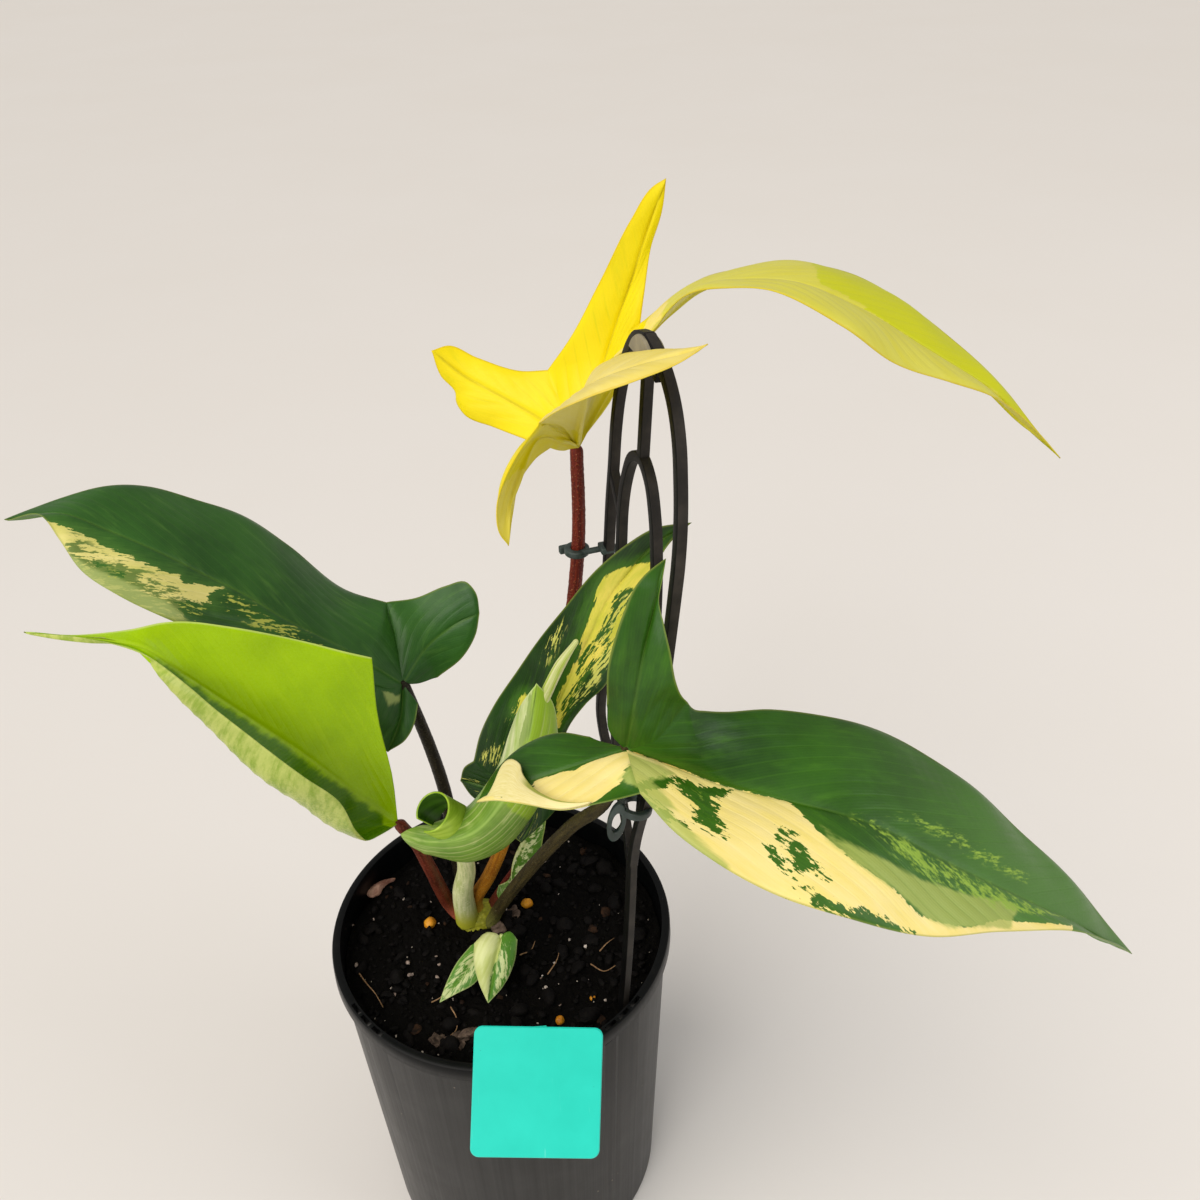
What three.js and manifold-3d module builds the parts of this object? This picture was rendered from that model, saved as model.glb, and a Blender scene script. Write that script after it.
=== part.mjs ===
// A young lobed climbing philodendron with variegated leaves, in a black nursery pot.
// Millimetres, +Z up. The origin is the centre of the pot's flat base, and -Y is the plant's front.
import * as THREE from 'three';
import { mergeVertices } from 'three/addons/utils/BufferGeometryUtils.js';
import Module from 'manifold-3d';

const wasm = await Module();
wasm.setup();

// Pot
const POT_HEIGHT = 150;
const POT_BODY_RADIUS = 63.4;
const POT_TAPER = 0.04;
const POT_WALL = 1.4;
const POT_FLOOR = 1.6;
const LIP_HEIGHT = 6.4;
const LIP_RADIUS = 65;
const LIP_INNER_RADIUS = 61.8;
const POT_SEGMENTS = 48;
const DRAIN_HOLES = 6;
const DRAIN_RADIUS = 5;
const DRAIN_CIRCLE = 43;
const HANGER_ANGLES = [-137, -44, 90];
const HANGER_SLOT = [5.2, 1.5, 20];
const HANGER_SLOT_PITCH = 6.5;

// Potting mix
const SOIL_LEVEL = 138;
const SOIL_ROUGHNESS = 1.1;
const SOIL_SEGMENTS = 32;
const CHUNK_COUNT = 26;
const CHUNK_SEED = 7;

// Plant
const BLADE_THICKNESS = 0.7;
const TOUCH_GAP = 0.3;
const CROWN_CENTRE = [-11, 12.5, 136];
const CROWN_RADII = [9.5, 7.5, 8.5];
const STEM_SIDES = 8;

// Trellis: a flat moulding that stands turned nearly edge-on to the front
const TRELLIS_FOOT = [44.6, -29.6, SOIL_LEVEL];
const TRELLIS_TOP = [56.5, -29.6, 397];
const TRELLIS_TURN = 16;
const TRELLIS_THICKNESS = 2.9;
const TRELLIS_BAR = 3;
const STAKE_DEPTH = 62;
const STAKE_WIDTH = 5;

// Plant label: a square plate on a flat spike
const LABEL_SIZE = 44;
const LABEL_CORNER = 3;
const LABEL_THICKNESS = 0.9;
const LABEL_CENTRE = [15, -69.3, 143.9];
const LABEL_LEAN = 37;
const LABEL_TURN = 3;
const LABEL_ROLL = -5.5;
const SPIKE_WIDTH = 8;
const SPIKE_THICKNESS = 1.4;
const SPIKE_LENGTH = 58;
const SPIKE_TOP = [15, -55.6, 160];
const SPIKE_ROOT = [8, 4.5, 4];
const SPIKE_ROOT_CENTRE = [15, -57.2, 156.5];

const degrees = THREE.MathUtils.degToRad;
const vector = (p) => new THREE.Vector3(...p);

// Each leaf is given by the point where its stalk joins, the folds that run from there to the
// notches between its lobes, and for each lobe its midrib and its two margins up to the tip.
// root is the share of the midrib beside the folds, and sag arches the left and right halves.
const TOP_LEAF = {
  hub: [37, -2, 354],
  folds: [
    [[31, 4, 351], [23, 10, 350]],
    [[33, 12, 359], [29, 22, 367]],
    [[48, 4, 367], [56, 10, 385]],
    [[40, -5, 366], [44, -5, 377]],
    [[34, -18, 368], [29, -44, 382]],
    [[34, -8, 356], [30, -18, 362]],
  ],
  lobes: [
    {
      left: [[12, 18, 351], [3, 22, 354], [1, 24, 357], [1, 24, 360], [-3, 25, 365]],
      vein: [[28, 12, 355], [15, 20, 360], [3, 24, 366]],
      right: [[21, 24, 366], [8, 26, 370], [0, 26, 374]],
      tip: [-5, 25, 373],
      root: 0.35,
      sag: [0.1, 0.1],
    },
    {
      left: [[36, 20, 377], [45, 16, 395], [54, 13, 413], [60, 11, 422]],
      vein: [[43, 12, 365], [51, 14, 388], [58, 12, 409]],
      right: [[57, 11, 392], [59, 12, 405], [62, 11, 416]],
      tip: [63, 10, 424],
      root: 0.35,
      sag: [0.1, 0.1],
    },
    {
      left: [
        [65, 12, 391], [74, 12, 397], [86, 10, 400], [99, 8, 401], [112, 6, 399],
        [127, 2, 391], [142, -3, 381], [155, -8, 369]
      ],
      vein: [
        [43, 1, 364], [50, 4, 374], [57, 4, 383], [64, 0, 393], [72, -7, 401], [84, -15, 405],
        [94, -19, 405], [110, -18, 398], [127, -16, 387], [147, -13, 373]
      ],
      right: [
        [51, 0, 381], [55, 0, 383], [59, -2, 388], [62, -8, 395], [67, -18, 403], [74, -28, 408],
        [84, -38, 411], [101, -40, 402], [115, -35, 391], [133, -27, 381], [151, -18, 371]
      ],
      tip: [173, -10, 349],
      root: 0.16,
      sag: [0.1, 0.1],
    },
    {
      left: [[46, -16, 385], [50, -27, 392], [54, -36, 396], [58, -44, 399], [64, -54, 403]],
      vein: [[39, -20, 372], [43, -42, 391], [53, -56, 401]],
      right: [[34, -54, 390], [40, -60, 395], [52, -66, 402], [61, -66, 406]],
      tip: [67, -64, 409],
      root: 0.45,
      sag: [0.1, 0.1],
    },
    {
      left: [[25, -50, 379], [21, -54, 373], [18, -55, 365], [18, -54, 357]],
      vein: [[33, -15, 363], [27, -31, 371], [23, -42, 368], [20, -50, 361]],
      right: [[26, -30, 364], [22, -42, 363], [21, -50, 359]],
      tip: [20, -53, 353],
      root: 0.3,
      sag: [0.1, 0.1],
    },
  ],
};

const LEFT_LEAF = {
  hub: [-28, 20, 252],
  folds: [
    [[-26, 18, 250], [-23, 16, 246]],
    [[-32, 15, 254], [-39, 11, 261]],
    [[-31, 32, 262], [-34, 42, 272]],
    [[-23, 24, 249], [-17, 28, 248]],
  ],
  lobes: [
    {
      left: [[-24, 11, 242], [-28, 8, 236]],
      vein: [[-29, 12, 243]],
      right: [[-39, 4, 254], [-38, 4, 241]],
      tip: [-34, 6, 233],
      root: 0.35,
      sag: [0.1, 0.1],
    },
    {
      left: [
        [-51, 5, 273], [-67, -1, 285], [-82, -6, 296], [-92, -10, 306], [-101, -11, 314],
        [-112, -7, 321], [-118, -2, 329], [-123, 2, 335]
      ],
      vein: [
        [-46, 14, 274], [-61, 12, 287], [-72, 11, 298], [-83, 10, 307], [-94, 8, 317],
        [-107, 7, 326], [-119, 6, 333]
      ],
      right: [
        [-48, 44, 276], [-65, 44, 296], [-79, 42, 310], [-89, 38, 318], [-102, 32, 327],
        [-112, 24, 332], [-123, 16, 333], [-130, 9, 333]
      ],
      tip: [-136, 5, 332],
      root: 0.12,
      sag: [0.1, 0.1],
    },
    {
      left: [[-24, 44, 272], [-13, 45, 276], [-5, 44, 278], [-2, 42, 275]],
      vein: [[-19, 32, 260], [-8, 38, 265]],
      right: [[-8, 33, 253], [-3, 37, 260]],
      tip: [-1, 39, 268],
      root: 0.35,
      sag: [0.1, 0.1],
    },
  ],
};

const FRONT_LEAF = {
  hub: [-31, -10, 214],
  folds: [
    [[-34, -18, 218], [-39, -24, 221]],
    [[-31, -6, 229], [-33, -3, 258], [-32, -1, 280]],
  ],
  lobes: [
    {
      left: [
        [-40, -30, 232], [-43, -33, 249], [-51, -34, 260], [-63, -31.5, 271.5], [-75, -27.5, 282.5],
        [-82.5, -24, 289], [-94, -20.5, 298], [-111, -21.4, 306.6]
      ],
      vein: [
        [-44, -12, 233], [-57, -14, 252], [-72, -15, 270], [-85, -17, 287], [-96, -19, 301],
        [-112, -20, 306]
      ],
      right: [
        [-53, -4, 290], [-72, -9, 300], [-90, -13, 305], [-99, -16, 305], [-112, -19, 306]
      ],
      tip: [-128, -20, 308],
      root: 0.16,
      sag: [-0.85, -0.08],
    },
  ],
};

const RIGHT_LEAF = {
  hub: [48, -62, 292],
  folds: [
    [[44, -62, 298], [43, -63, 309]],
    [[56, -65, 298], [64.5, -63, 308.6]],
    [[49, -70, 293], [51, -78, 291]],
    [[43, -58, 291], [38, -55, 291]],
  ],
  lobes: [
    {
      left: [[44, -65, 325], [48, -62, 338], [51, -60, 344], [54, -57, 346]],
      vein: [[51, -65, 315], [55, -60, 335]],
      right: [
        [62.9, -64, 311.5], [61, -65.5, 318], [59.6, -65, 327], [58, -62, 334], [57, -59, 339],
        [58, -57, 344]
      ],
      tip: [59, -55, 349],
      root: 0.35,
      sag: [0.08, 0.08],
    },
    {
      left: [
        [66.1, -62, 305.7], [69.8, -59, 302.2], [75.5, -56, 299], [88, -52, 296], [106, -49, 290],
        [128, -48, 279], [147, -50, 265], [166, -54, 247], [185, -60, 228]
      ],
      vein: [
        [62, -66, 288], [74, -70, 285], [92, -74, 282], [109, -78, 279], [138, -80, 261],
        [173, -76, 234]
      ],
      right: [
        [59, -88, 287], [68, -96, 285], [85, -102, 277], [103, -104, 270], [126, -100, 257],
        [148, -92, 248], [180, -80, 231]
      ],
      tip: [204, -68, 205],
      root: 0.12,
      sag: [0.08, 0.08],
    },
    {
      left: [[40, -80, 290], [30, -80, 288], [22, -78, 288], [13, -70, 282]],
      vein: [[38, -64, 290], [26, -66, 287], [14, -65, 281]],
      right: [[30, -52, 290], [20, -52, 286], [11, -56, 280]],
      tip: [5, -60, 272],
      root: 0.35,
      sag: [0.08, 0.08],
    },
  ],
};

const BACK_LEAF = {
  hub: [10, 0, 215],
  folds: [
    [[2, 2, 208], [-3, 4, 209]],
    [[3, 1, 225], [-4, 3, 230]],
    [[19, -4, 228], [27, -6, 241]],
    [[7, 0, 208], [6, 0, 203]],
  ],
  lobes: [
    {
      left: [[-6, 5, 211]],
      vein: [[0, 3, 217]],
      right: [[-8, 5, 225]],
      tip: [-10, 6, 218],
      root: 0.35,
      sag: [0.08, 0.08],
    },
    {
      left: [
        [-1, 3, 241], [5, 2, 255], [15, 0, 273], [30, -9, 301], [43, -17, 323], [50, -21, 332],
        [58, -24, 339]
      ],
      vein: [[18, -4, 240], [28, -8, 265], [37, -14, 291], [46, -19, 314], [56, -23, 331]],
      right: [
        [30, -8, 253], [36, -12, 266], [44, -18, 281], [49, -21, 298], [54, -24, 315],
        [58, -26, 328], [62, -27, 336]
      ],
      tip: [68, -28, 343],
      root: 0.15,
      sag: [0.08, 0.08],
    },
    {
      left: [[31, -5, 242], [31, -5, 231], [27, -5, 218], [19, -6, 207]],
      vein: [[16, -3, 212]],
      right: [[7, -3, 200]],
      tip: [11, -6, 198],
      root: 0.35,
      sag: [0.08, 0.08],
    },
  ],
};

const NEW_LEAF = {
  hub: [-28, -20, 219],
  folds: [
    [[-24, -20, 221], [-18, -19, 222]],
    [[-25, -21, 214], [-21, -22, 211]],
  ],
  lobes: [
    {
      left: [[-6, -17, 227], [4, -16, 239], [12, -19, 262], [18, -21, 277]],
      vein: [[-17, -26, 221], [-3, -29, 227], [10, -28, 243], [18, -26, 264]],
      right: [
        [-6, -21, 206], [5, -18, 209], [17, -16, 222], [24, -15, 239], [27, -18, 261],
        [26, -20, 276]
      ],
      tip: [22, -22, 284],
      root: 0.15,
      sag: [0.25, 0.25],
    },
  ],
};

// The unopened end of the new leaf, and the roll at its base
const NEW_LEAF_POINT = [
  [11, -24.5, 247.5], [16, -22.5, 258.5], [24, -20, 277], [29.4, -20, 289.2], [34.6, -20.5, 298.2]
];
const NEW_LEAF_POINT_RADII = [2.4, 1.4];
const NEW_LEAF_ROLL = { from: [-18.5, -25.5, 231.5], to: [-7, -19, 223], radius: 5 };
const ROLL_START = -70;
const ROLL_STEP = 22;
const ROLL_POINTS = 15;
const ROLL_TIGHTENING = 0.09;

// A narrow variegated scale leaf beside the stalks
const BRACT = {
  hub: [-1, 9, 150],
  folds: [
    [[2, 8, 153], [4, 7, 157]],
    [[-2, 9, 154], [-1, 9, 159]],
  ],
  lobes: [
    {
      left: [[5, 9, 170], [12, 9, 188]],
      vein: [[5, 9, 167], [12, 8, 186]],
      right: [[12, 8, 167], [18, 8, 187]],
      tip: [21, 8, 207],
      root: 0.15,
      sag: [0.3, 0.3],
    },
  ],
};

// The two small heart-shaped leaves of the side shoot
const SHOOT_LEAF_LEFT = {
  hub: [0, -12, 151],
  folds: [
    [[-3, -16, 151], [-5, -21, 149]],
    [[-6, -11, 152], [-11, -13, 151]],
  ],
  lobes: [
    {
      left: [[-9, -26, 146], [-16, -29, 144]],
      vein: [[-8, -17, 150], [-14, -24, 147]],
      right: [[-16, -19, 149], [-20, -26, 145]],
      tip: [-22, -31, 142],
      root: 0.15,
      sag: [0.2, 0.2],
    },
  ],
};
const SHOOT_LEAF_RIGHT = {
  hub: [1, -13, 155],
  folds: [
    [[4, -12, 157], [7, -15, 156]],
    [[-4, -12, 157], [-9, -16, 156]],
  ],
  lobes: [
    {
      left: [[6, -21, 152], [2, -28, 147]],
      vein: [[0, -18, 155], [-2, -25, 150]],
      right: [[-9, -22, 153], [-7, -28, 148]],
      tip: [-4, -32, 142],
      root: 0.15,
      sag: [0.35, 0.5],
    },
  ],
};

// Stalks: their routes from the crown to the blades, and their radii at foot and top
const STALKS = {
  petiole_top: {
    route: [[-6, 14, 139], [1, 16, 150], [10, 15, 168], [27, 12, 249], [36, 5, 316], [37, -2, 355]],
    radii: [3, 1.9],
  },
  petiole_left: {
    route: [[-15, 16, 138], [-18, 21, 165], [-19, 22, 196], [-22, 22, 219], [-28, 20, 253]],
    radii: [2.8, 2.1],
  },
  petiole_front: {
    route: [[-18, 13, 137], [-22, 13, 145], [-25, 2, 178], [-27, -5, 199], [-31, -10, 215]],
    radii: [2.9, 2.2],
  },
  petiole_right: {
    route: [[-6, 8, 138], [-1, 5, 151], [13, -6, 184], [30, -24, 224], [41, -42, 252], [48, -62, 293]],
    radii: [2.5, 2.1],
  },
  petiole_back: {
    route: [[-11, 12, 140], [-11, 11, 149], [-4, 7, 167], [3, 3, 188], [10, 0, 216]],
    radii: [2.9, 2.2],
  },
};
const SHEATH_ROUTE = [[-15, 9, 140], [-14.5, 5, 160], [-10.5, -3, 182], [-8.4, -20, 213.2]];
const SHEATH_RADII = [4.6, 2.4];
const SHOOT_ROUTE = [[3, -2, 128], [2, -5, 141], [0, -11, 151], [1, -13, 156]];
const SHOOT_RADII = [1.5, 1];
const SHOOT_SIDES = 6;

function solidOf(geometry) {
  geometry.deleteAttribute('normal');
  geometry.deleteAttribute('uv');
  const merged = mergeVertices(geometry, 1e-4);
  return new wasm.Manifold(new wasm.Mesh({
    numProp: 3,
    vertProperties: new Float32Array(merged.attributes.position.array),
    triVerts: new Uint32Array(merged.index.array),
  }));
}

function geometryOf(solid) {
  const { vertProperties, triVerts } = solid.getMesh();
  const geometry = new THREE.BufferGeometry();
  geometry.setAttribute('position', new THREE.BufferAttribute(new Float32Array(vertProperties), 3));
  geometry.setIndex(new THREE.BufferAttribute(new Uint32Array(triVerts), 1));
  geometry.computeVertexNormals();
  return geometry;
}

const joined = (solids) => solids.reduce((whole, solid) => whole.add(solid));
const cutBy = (solid, cutters) => cutters.reduce((rest, cutter) => rest.subtract(cutter), solid);
const largest = (solid) => solid.decompose().reduce((a, b) => (a.volume() > b.volume() ? a : b));

// A point at a share of the length of a smooth curve through hand-set points.
function along(points, share) {
  const chords = [0];
  for (let k = 1; k < points.length; k += 1) {
    chords.push(chords[k - 1] + points[k].distanceTo(points[k - 1]));
  }
  const last = points.length - 1;
  const reach = THREE.MathUtils.clamp(share, 0, 1) * chords[last];
  let k = 0;
  while (k < last - 1 && chords[k + 1] <= reach) k += 1;
  const slope = (i) => {
    if (i === 0) return points[1].clone().sub(points[0]).divideScalar(chords[1]);
    const before = chords[i] - chords[i - 1];
    const arriving = points[i].clone().sub(points[i - 1]).divideScalar(before);
    if (i === last) return arriving;
    const after = chords[i + 1] - chords[i];
    const leaving = points[i + 1].clone().sub(points[i]).divideScalar(after);
    return arriving.multiplyScalar(after).add(leaving.multiplyScalar(before)).divideScalar(before + after);
  };
  const span = chords[k + 1] - chords[k];
  const u = (reach - chords[k]) / span;
  const start = points[k].clone().multiplyScalar(2 * u ** 3 - 3 * u ** 2 + 1);
  const end = points[k + 1].clone().multiplyScalar(3 * u ** 2 - 2 * u ** 3);
  const leave = slope(k).multiplyScalar(span * (u ** 3 - 2 * u ** 2 + u));
  const arrive = slope(k + 1).multiplyScalar(span * (u ** 3 - u ** 2));
  return start.add(end).add(leave).add(arrive);
}

// One lobe as rows of points from its left margin over the midrib to its right margin.
function lobeRows(leaf, index, size) {
  const lobe = leaf.lobes[index];
  const hub = vector(leaf.hub);
  const tip = vector(lobe.tip);
  const vein = [hub, ...lobe.vein.map(vector), tip];
  const last = size.foldRows + Math.max(4, Math.round(hub.distanceTo(tip) / size.pitch));
  const sides = [[leaf.folds[index], lobe.left], [leaf.folds[index + 1], lobe.right]].map(
    ([fold, margin]) => ({
      fold: [hub, ...fold.map(vector)],
      margin: [vector(fold[fold.length - 1]), ...margin.map(vector), tip],
    }),
  );
  const rows = [];
  for (let i = 0; i <= last; i += 1) {
    const inFold = i <= size.foldRows;
    const share = inFold ? i / size.foldRows : (i - size.foldRows) / (last - size.foldRows);
    const edges = sides.map((side) => along(inFold ? side.fold : side.margin, share));
    const reach = inFold ? lobe.root * share : lobe.root + (1 - lobe.root) * share;
    const middle = along(vein, reach);
    const forward = along(vein, reach + 0.02).sub(along(vein, reach - 0.02)).normalize();
    const row = [];
    for (let j = -size.across; j <= size.across; j += 1) {
      const side = j < 0 ? 0 : 1;
      const w = Math.abs(j) / size.across;
      const chord = edges[side].clone().sub(middle);
      const up = chord.clone().multiplyScalar(side ? 1 : -1).cross(forward);
      if (up.length() > 1e-6) up.normalize();
      const rise = lobe.sag[side] * chord.length() * 2 * w * (1 - w);
      row.push(middle.clone().addScaledVector(chord, w).addScaledVector(up, rise));
    }
    rows.push(row);
  }
  return rows;
}

// The whole blade as one sheet: lobes share the points of the folds between them.
function bladeSheet(leaf, size) {
  const points = [vector(leaf.hub)];
  const triangles = [];
  let shared = [];
  leaf.lobes.forEach((lobe, index) => {
    const rows = lobeRows(leaf, index, size);
    const right = 2 * size.across;
    const last = rows.length - 1;
    points.push(rows[last][0]);
    const tip = points.length - 1;
    const ids = rows.map((row, i) => row.map((point, j) => {
      if (i === 0) return 0;
      if (i === last) return tip;
      if (index > 0 && j === 0 && i <= size.foldRows) return shared[i];
      points.push(point);
      return points.length - 1;
    }));
    shared = ids.map((row) => row[right]);
    for (let i = 0; i < last; i += 1) {
      for (let j = 0; j < right; j += 1) {
        const [a, b, c, d] = [ids[i][j], ids[i][j + 1], ids[i + 1][j + 1], ids[i + 1][j]];
        if (a !== b) triangles.push([a, b, c]);
        if (c !== d) triangles.push([a, c, d]);
      }
    }
  });
  return { points, triangles };
}

// A closed solid of one thickness round a sheet, with the same triangles on both faces.
function thickened({ points, triangles }, thickness) {
  const normals = points.map(() => new THREE.Vector3());
  const edges = new Map();
  triangles.forEach(([a, b, c]) => {
    const u = points[b].clone().sub(points[a]);
    const v = points[c].clone().sub(points[a]);
    const normal = u.cross(v);
    [a, b, c].forEach((k) => normals[k].add(normal));
    [[a, b], [b, c], [c, a]].forEach(([from, to]) => edges.set(`${from} ${to}`, [from, to]));
  });
  const count = points.length;
  const position = [];
  [0.5, -0.5].forEach((side) => {
    points.forEach((point, k) => {
      const offset = normals[k].clone().normalize().multiplyScalar(side * thickness);
      position.push(...point.clone().add(offset).toArray());
    });
  });
  const index = [];
  triangles.forEach(([a, b, c]) => index.push(a, b, c, a + count, c + count, b + count));
  edges.forEach(([from, to]) => {
    if (edges.has(`${to} ${from}`)) return;
    index.push(to, from, from + count, to, from + count, to + count);
  });
  const geometry = new THREE.BufferGeometry();
  geometry.setAttribute('position', new THREE.Float32BufferAttribute(position, 3));
  geometry.setIndex(index);
  return geometry;
}

const bladeSolid = (leaf, size, thickness) => solidOf(thickened(bladeSheet(leaf, size), thickness));

// A round stem along a route, thicker at its foot than at its top.
function stemSolid(route, radii, steps, extra = 0, sides = STEM_SIDES) {
  const curve = new THREE.CatmullRomCurve3(route.map(vector));
  const ring = new THREE.Shape(Array.from({ length: sides }, (_, k) => {
    const angle = (2 * Math.PI * k) / sides;
    return new THREE.Vector2(Math.cos(angle), Math.sin(angle));
  }));
  const geometry = new THREE.ExtrudeGeometry(ring, { steps, bevelEnabled: false, extrudePath: curve });
  const centres = Array.from({ length: steps + 1 }, (_, k) => curve.getPointAt(k / steps));
  const position = geometry.attributes.position;
  const point = new THREE.Vector3();
  for (let k = 0; k < position.count; k += 1) {
    point.fromBufferAttribute(position, k);
    const distances = centres.map((centre) => Math.abs(centre.distanceTo(point) - 1));
    const nearest = distances.indexOf(Math.min(...distances));
    const radius = THREE.MathUtils.lerp(radii[0], radii[1], nearest / steps) + extra;
    point.sub(centres[nearest]).multiplyScalar(radius).add(centres[nearest]);
    position.setXYZ(k, point.x, point.y, point.z);
  }
  return solidOf(geometry);
}

function seededRandom(seed) {
  let state = seed;
  return () => {
    state = (state * 1664525 + 1013904223) % 4294967296;
    return state / 4294967296;
  };
}

// Pot: a thin tapered wall with a thick lip, drain holes and the slots for a hanger
const LIP_BASE = POT_HEIGHT - LIP_HEIGHT;
const wallRadius = (z) => POT_BODY_RADIUS - POT_TAPER * (LIP_BASE - z);

function potSolid() {
  const inner = (z) => wallRadius(z) - POT_WALL;
  // Radius and height, from the base's centre up the outside, over the lip and down the inside
  const profile = [
    [0, 0], [wallRadius(0) - 1, 0], [wallRadius(0), 1], [wallRadius(LIP_BASE), LIP_BASE],
    [LIP_RADIUS + 0.3, LIP_BASE + 0.4], [LIP_RADIUS, POT_HEIGHT - 0.8], [LIP_RADIUS - 0.8, POT_HEIGHT],
    [LIP_INNER_RADIUS + 0.5, POT_HEIGHT], [LIP_INNER_RADIUS, POT_HEIGHT - 0.6],
    [LIP_INNER_RADIUS, LIP_BASE - 1], [inner(POT_FLOOR), POT_FLOOR], [0, POT_FLOOR],
  ].map(([r, z]) => new THREE.Vector2(r, z));
  const shell = new THREE.LatheGeometry(profile, POT_SEGMENTS);
  shell.rotateX(Math.PI / 2);
  const cutters = [];
  for (let k = 0; k < DRAIN_HOLES; k += 1) {
    const angle = (2 * Math.PI * k) / DRAIN_HOLES;
    const hole = new THREE.CylinderGeometry(DRAIN_RADIUS, DRAIN_RADIUS, 4 * POT_FLOOR, 12);
    hole.rotateX(Math.PI / 2);
    hole.translate(DRAIN_CIRCLE * Math.cos(angle), DRAIN_CIRCLE * Math.sin(angle), POT_FLOOR / 2);
    cutters.push(solidOf(hole));
  }
  HANGER_ANGLES.forEach((middle) => {
    [-1, 0, 1].forEach((place) => {
      const slot = new THREE.BoxGeometry(...HANGER_SLOT);
      const radius = (LIP_RADIUS + LIP_INNER_RADIUS) / 2;
      slot.translate(0, radius, POT_HEIGHT);
      slot.rotateZ(degrees(middle - 90) + (place * HANGER_SLOT_PITCH) / radius);
      cutters.push(solidOf(slot));
    });
  });
  return cutBy(solidOf(shell), cutters);
}

// Potting mix: it fills the pot, and bark lumps stand in its uneven surface
const unevenness = (x, y) => {
  const swell = Math.sin(x / 5.1 + 1) * Math.cos(y / 6.3);
  const ripple = 0.5 * Math.sin(x / 2.9 - y / 3.7);
  return SOIL_ROUGHNESS * (swell + ripple);
};

function soilSolid(cutters) {
  const gap = TOUCH_GAP;
  const side = (z) => Math.min(wallRadius(z) - POT_WALL, LIP_INNER_RADIUS) - gap;
  const rings = [54, 46, 38, 30, 22, 14, 7];
  const profile = [
    [0, POT_FLOOR + gap], [side(POT_FLOOR) - 0.5, POT_FLOOR + gap], [side(SOIL_LEVEL) - 0.4, SOIL_LEVEL - 2],
    ...rings.map((r) => [r, SOIL_LEVEL]), [0, SOIL_LEVEL],
  ].map(([r, z]) => new THREE.Vector2(r, z));
  const fill = new THREE.LatheGeometry(profile, SOIL_SEGMENTS);
  fill.rotateX(Math.PI / 2);
  const position = fill.attributes.position;
  for (let k = 0; k < position.count; k += 1) {
    if (position.getZ(k) > SOIL_LEVEL - 1) {
      position.setZ(k, SOIL_LEVEL + unevenness(position.getX(k), position.getY(k)));
    }
  }
  const random = seededRandom(CHUNK_SEED);
  const chunks = [];
  for (let k = 0; k < CHUNK_COUNT; k += 1) {
    const chunk = new THREE.IcosahedronGeometry(1, 0);
    chunk.scale(1.6 + 2.6 * random(), 1.4 + 2 * random(), 1.1 + 1.3 * random());
    chunk.rotateY(0.6 * (random() - 0.5));
    chunk.rotateZ(2 * Math.PI * random());
    const radius = 53 * Math.sqrt(random());
    const angle = 2 * Math.PI * random();
    const x = radius * Math.cos(angle);
    const y = radius * Math.sin(angle);
    chunk.translate(x, y, SOIL_LEVEL + unevenness(x, y) + 0.2);
    chunks.push(solidOf(chunk));
  }
  return largest(cutBy(joined([solidOf(fill), ...chunks]), cutters));
}

// Trellis frame of reference: across the moulding, up its stake, and through its thickness
function trellisPlace() {
  const up = vector(TRELLIS_TOP).sub(vector(TRELLIS_FOOT)).normalize();
  const turn = degrees(TRELLIS_TURN);
  const across = new THREE.Vector3(Math.sin(turn), -Math.cos(turn), 0);
  across.addScaledVector(up, -across.dot(up)).normalize();
  const through = across.clone().cross(up);
  return new THREE.Matrix4().makeBasis(across, up, through).setPosition(vector(TRELLIS_FOOT));
}

// A bar of the moulding: a band of one width along a curve in its plane.
function bar(points, width, extra = 0, steps = 2 * (points.length - 1)) {
  const route = points.map(([s, h]) => new THREE.Vector3(s, h, 0));
  const half = width / 2 + extra;
  const left = [];
  const right = [];
  for (let k = 0; k <= steps; k += 1) {
    const point = along(route, k / steps);
    const forward = along(route, (k + 0.1) / steps).sub(along(route, (k - 0.1) / steps)).normalize();
    left.push(new THREE.Vector2(point.x - forward.y * half, point.y + forward.x * half));
    right.unshift(new THREE.Vector2(point.x + forward.y * half, point.y - forward.x * half));
  }
  const depth = TRELLIS_THICKNESS + 2 * extra;
  const outline = new THREE.Shape([...left, ...right]);
  const band = new THREE.ExtrudeGeometry(outline, { depth, bevelEnabled: false });
  band.translate(0, 0, -depth / 2);
  band.applyMatrix4(trellisPlace());
  return solidOf(band);
}

// The bars of the moulding in its own plane: distance across the stake, then height above the foot
const NEAR_BAR = [
  [0, 259], [8, 257], [14, 254], [19.5, 249], [23.5, 242], [26, 233], [27.7, 223], [28, 211],
  [27, 200], [25.4, 186], [23.5, 170], [21.5, 145], [18, 125], [12, 107], [8, 93], [6, 80]
];
const FAR_BAR = [
  [0, 259], [-8, 256.5], [-14, 250.5], [-18, 243.5], [-21.7, 234], [-24, 223], [-25, 211],
  [-26.4, 199], [-27.3, 184], [-29.3, 150], [-31, 124], [-31, 113], [-27, 107.5], [-18, 104],
  [-8, 98], [-1, 90], [4, 80]
];
const ARCH = [
  [-14, 104], [-16.5, 140], [-16.3, 170], [-16, 190], [-15.6, 204], [-13, 214], [-8, 222.5],
  [-1, 225.5], [5, 222.5], [10, 214], [12.8, 203], [14, 190], [14.2, 170], [13.5, 140], [11.5, 108]
];
const CENTRE_BAR = [[0, 257], [-1, 225]];
const FAR_LINK = [[-25, 209.5], [-15.5, 200]];
const BARS = [NEAR_BAR, FAR_BAR, ARCH, CENTRE_BAR, FAR_LINK];
const STAKE = [[5, 86], [5.6, 70], [0, -STAKE_DEPTH]];

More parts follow.
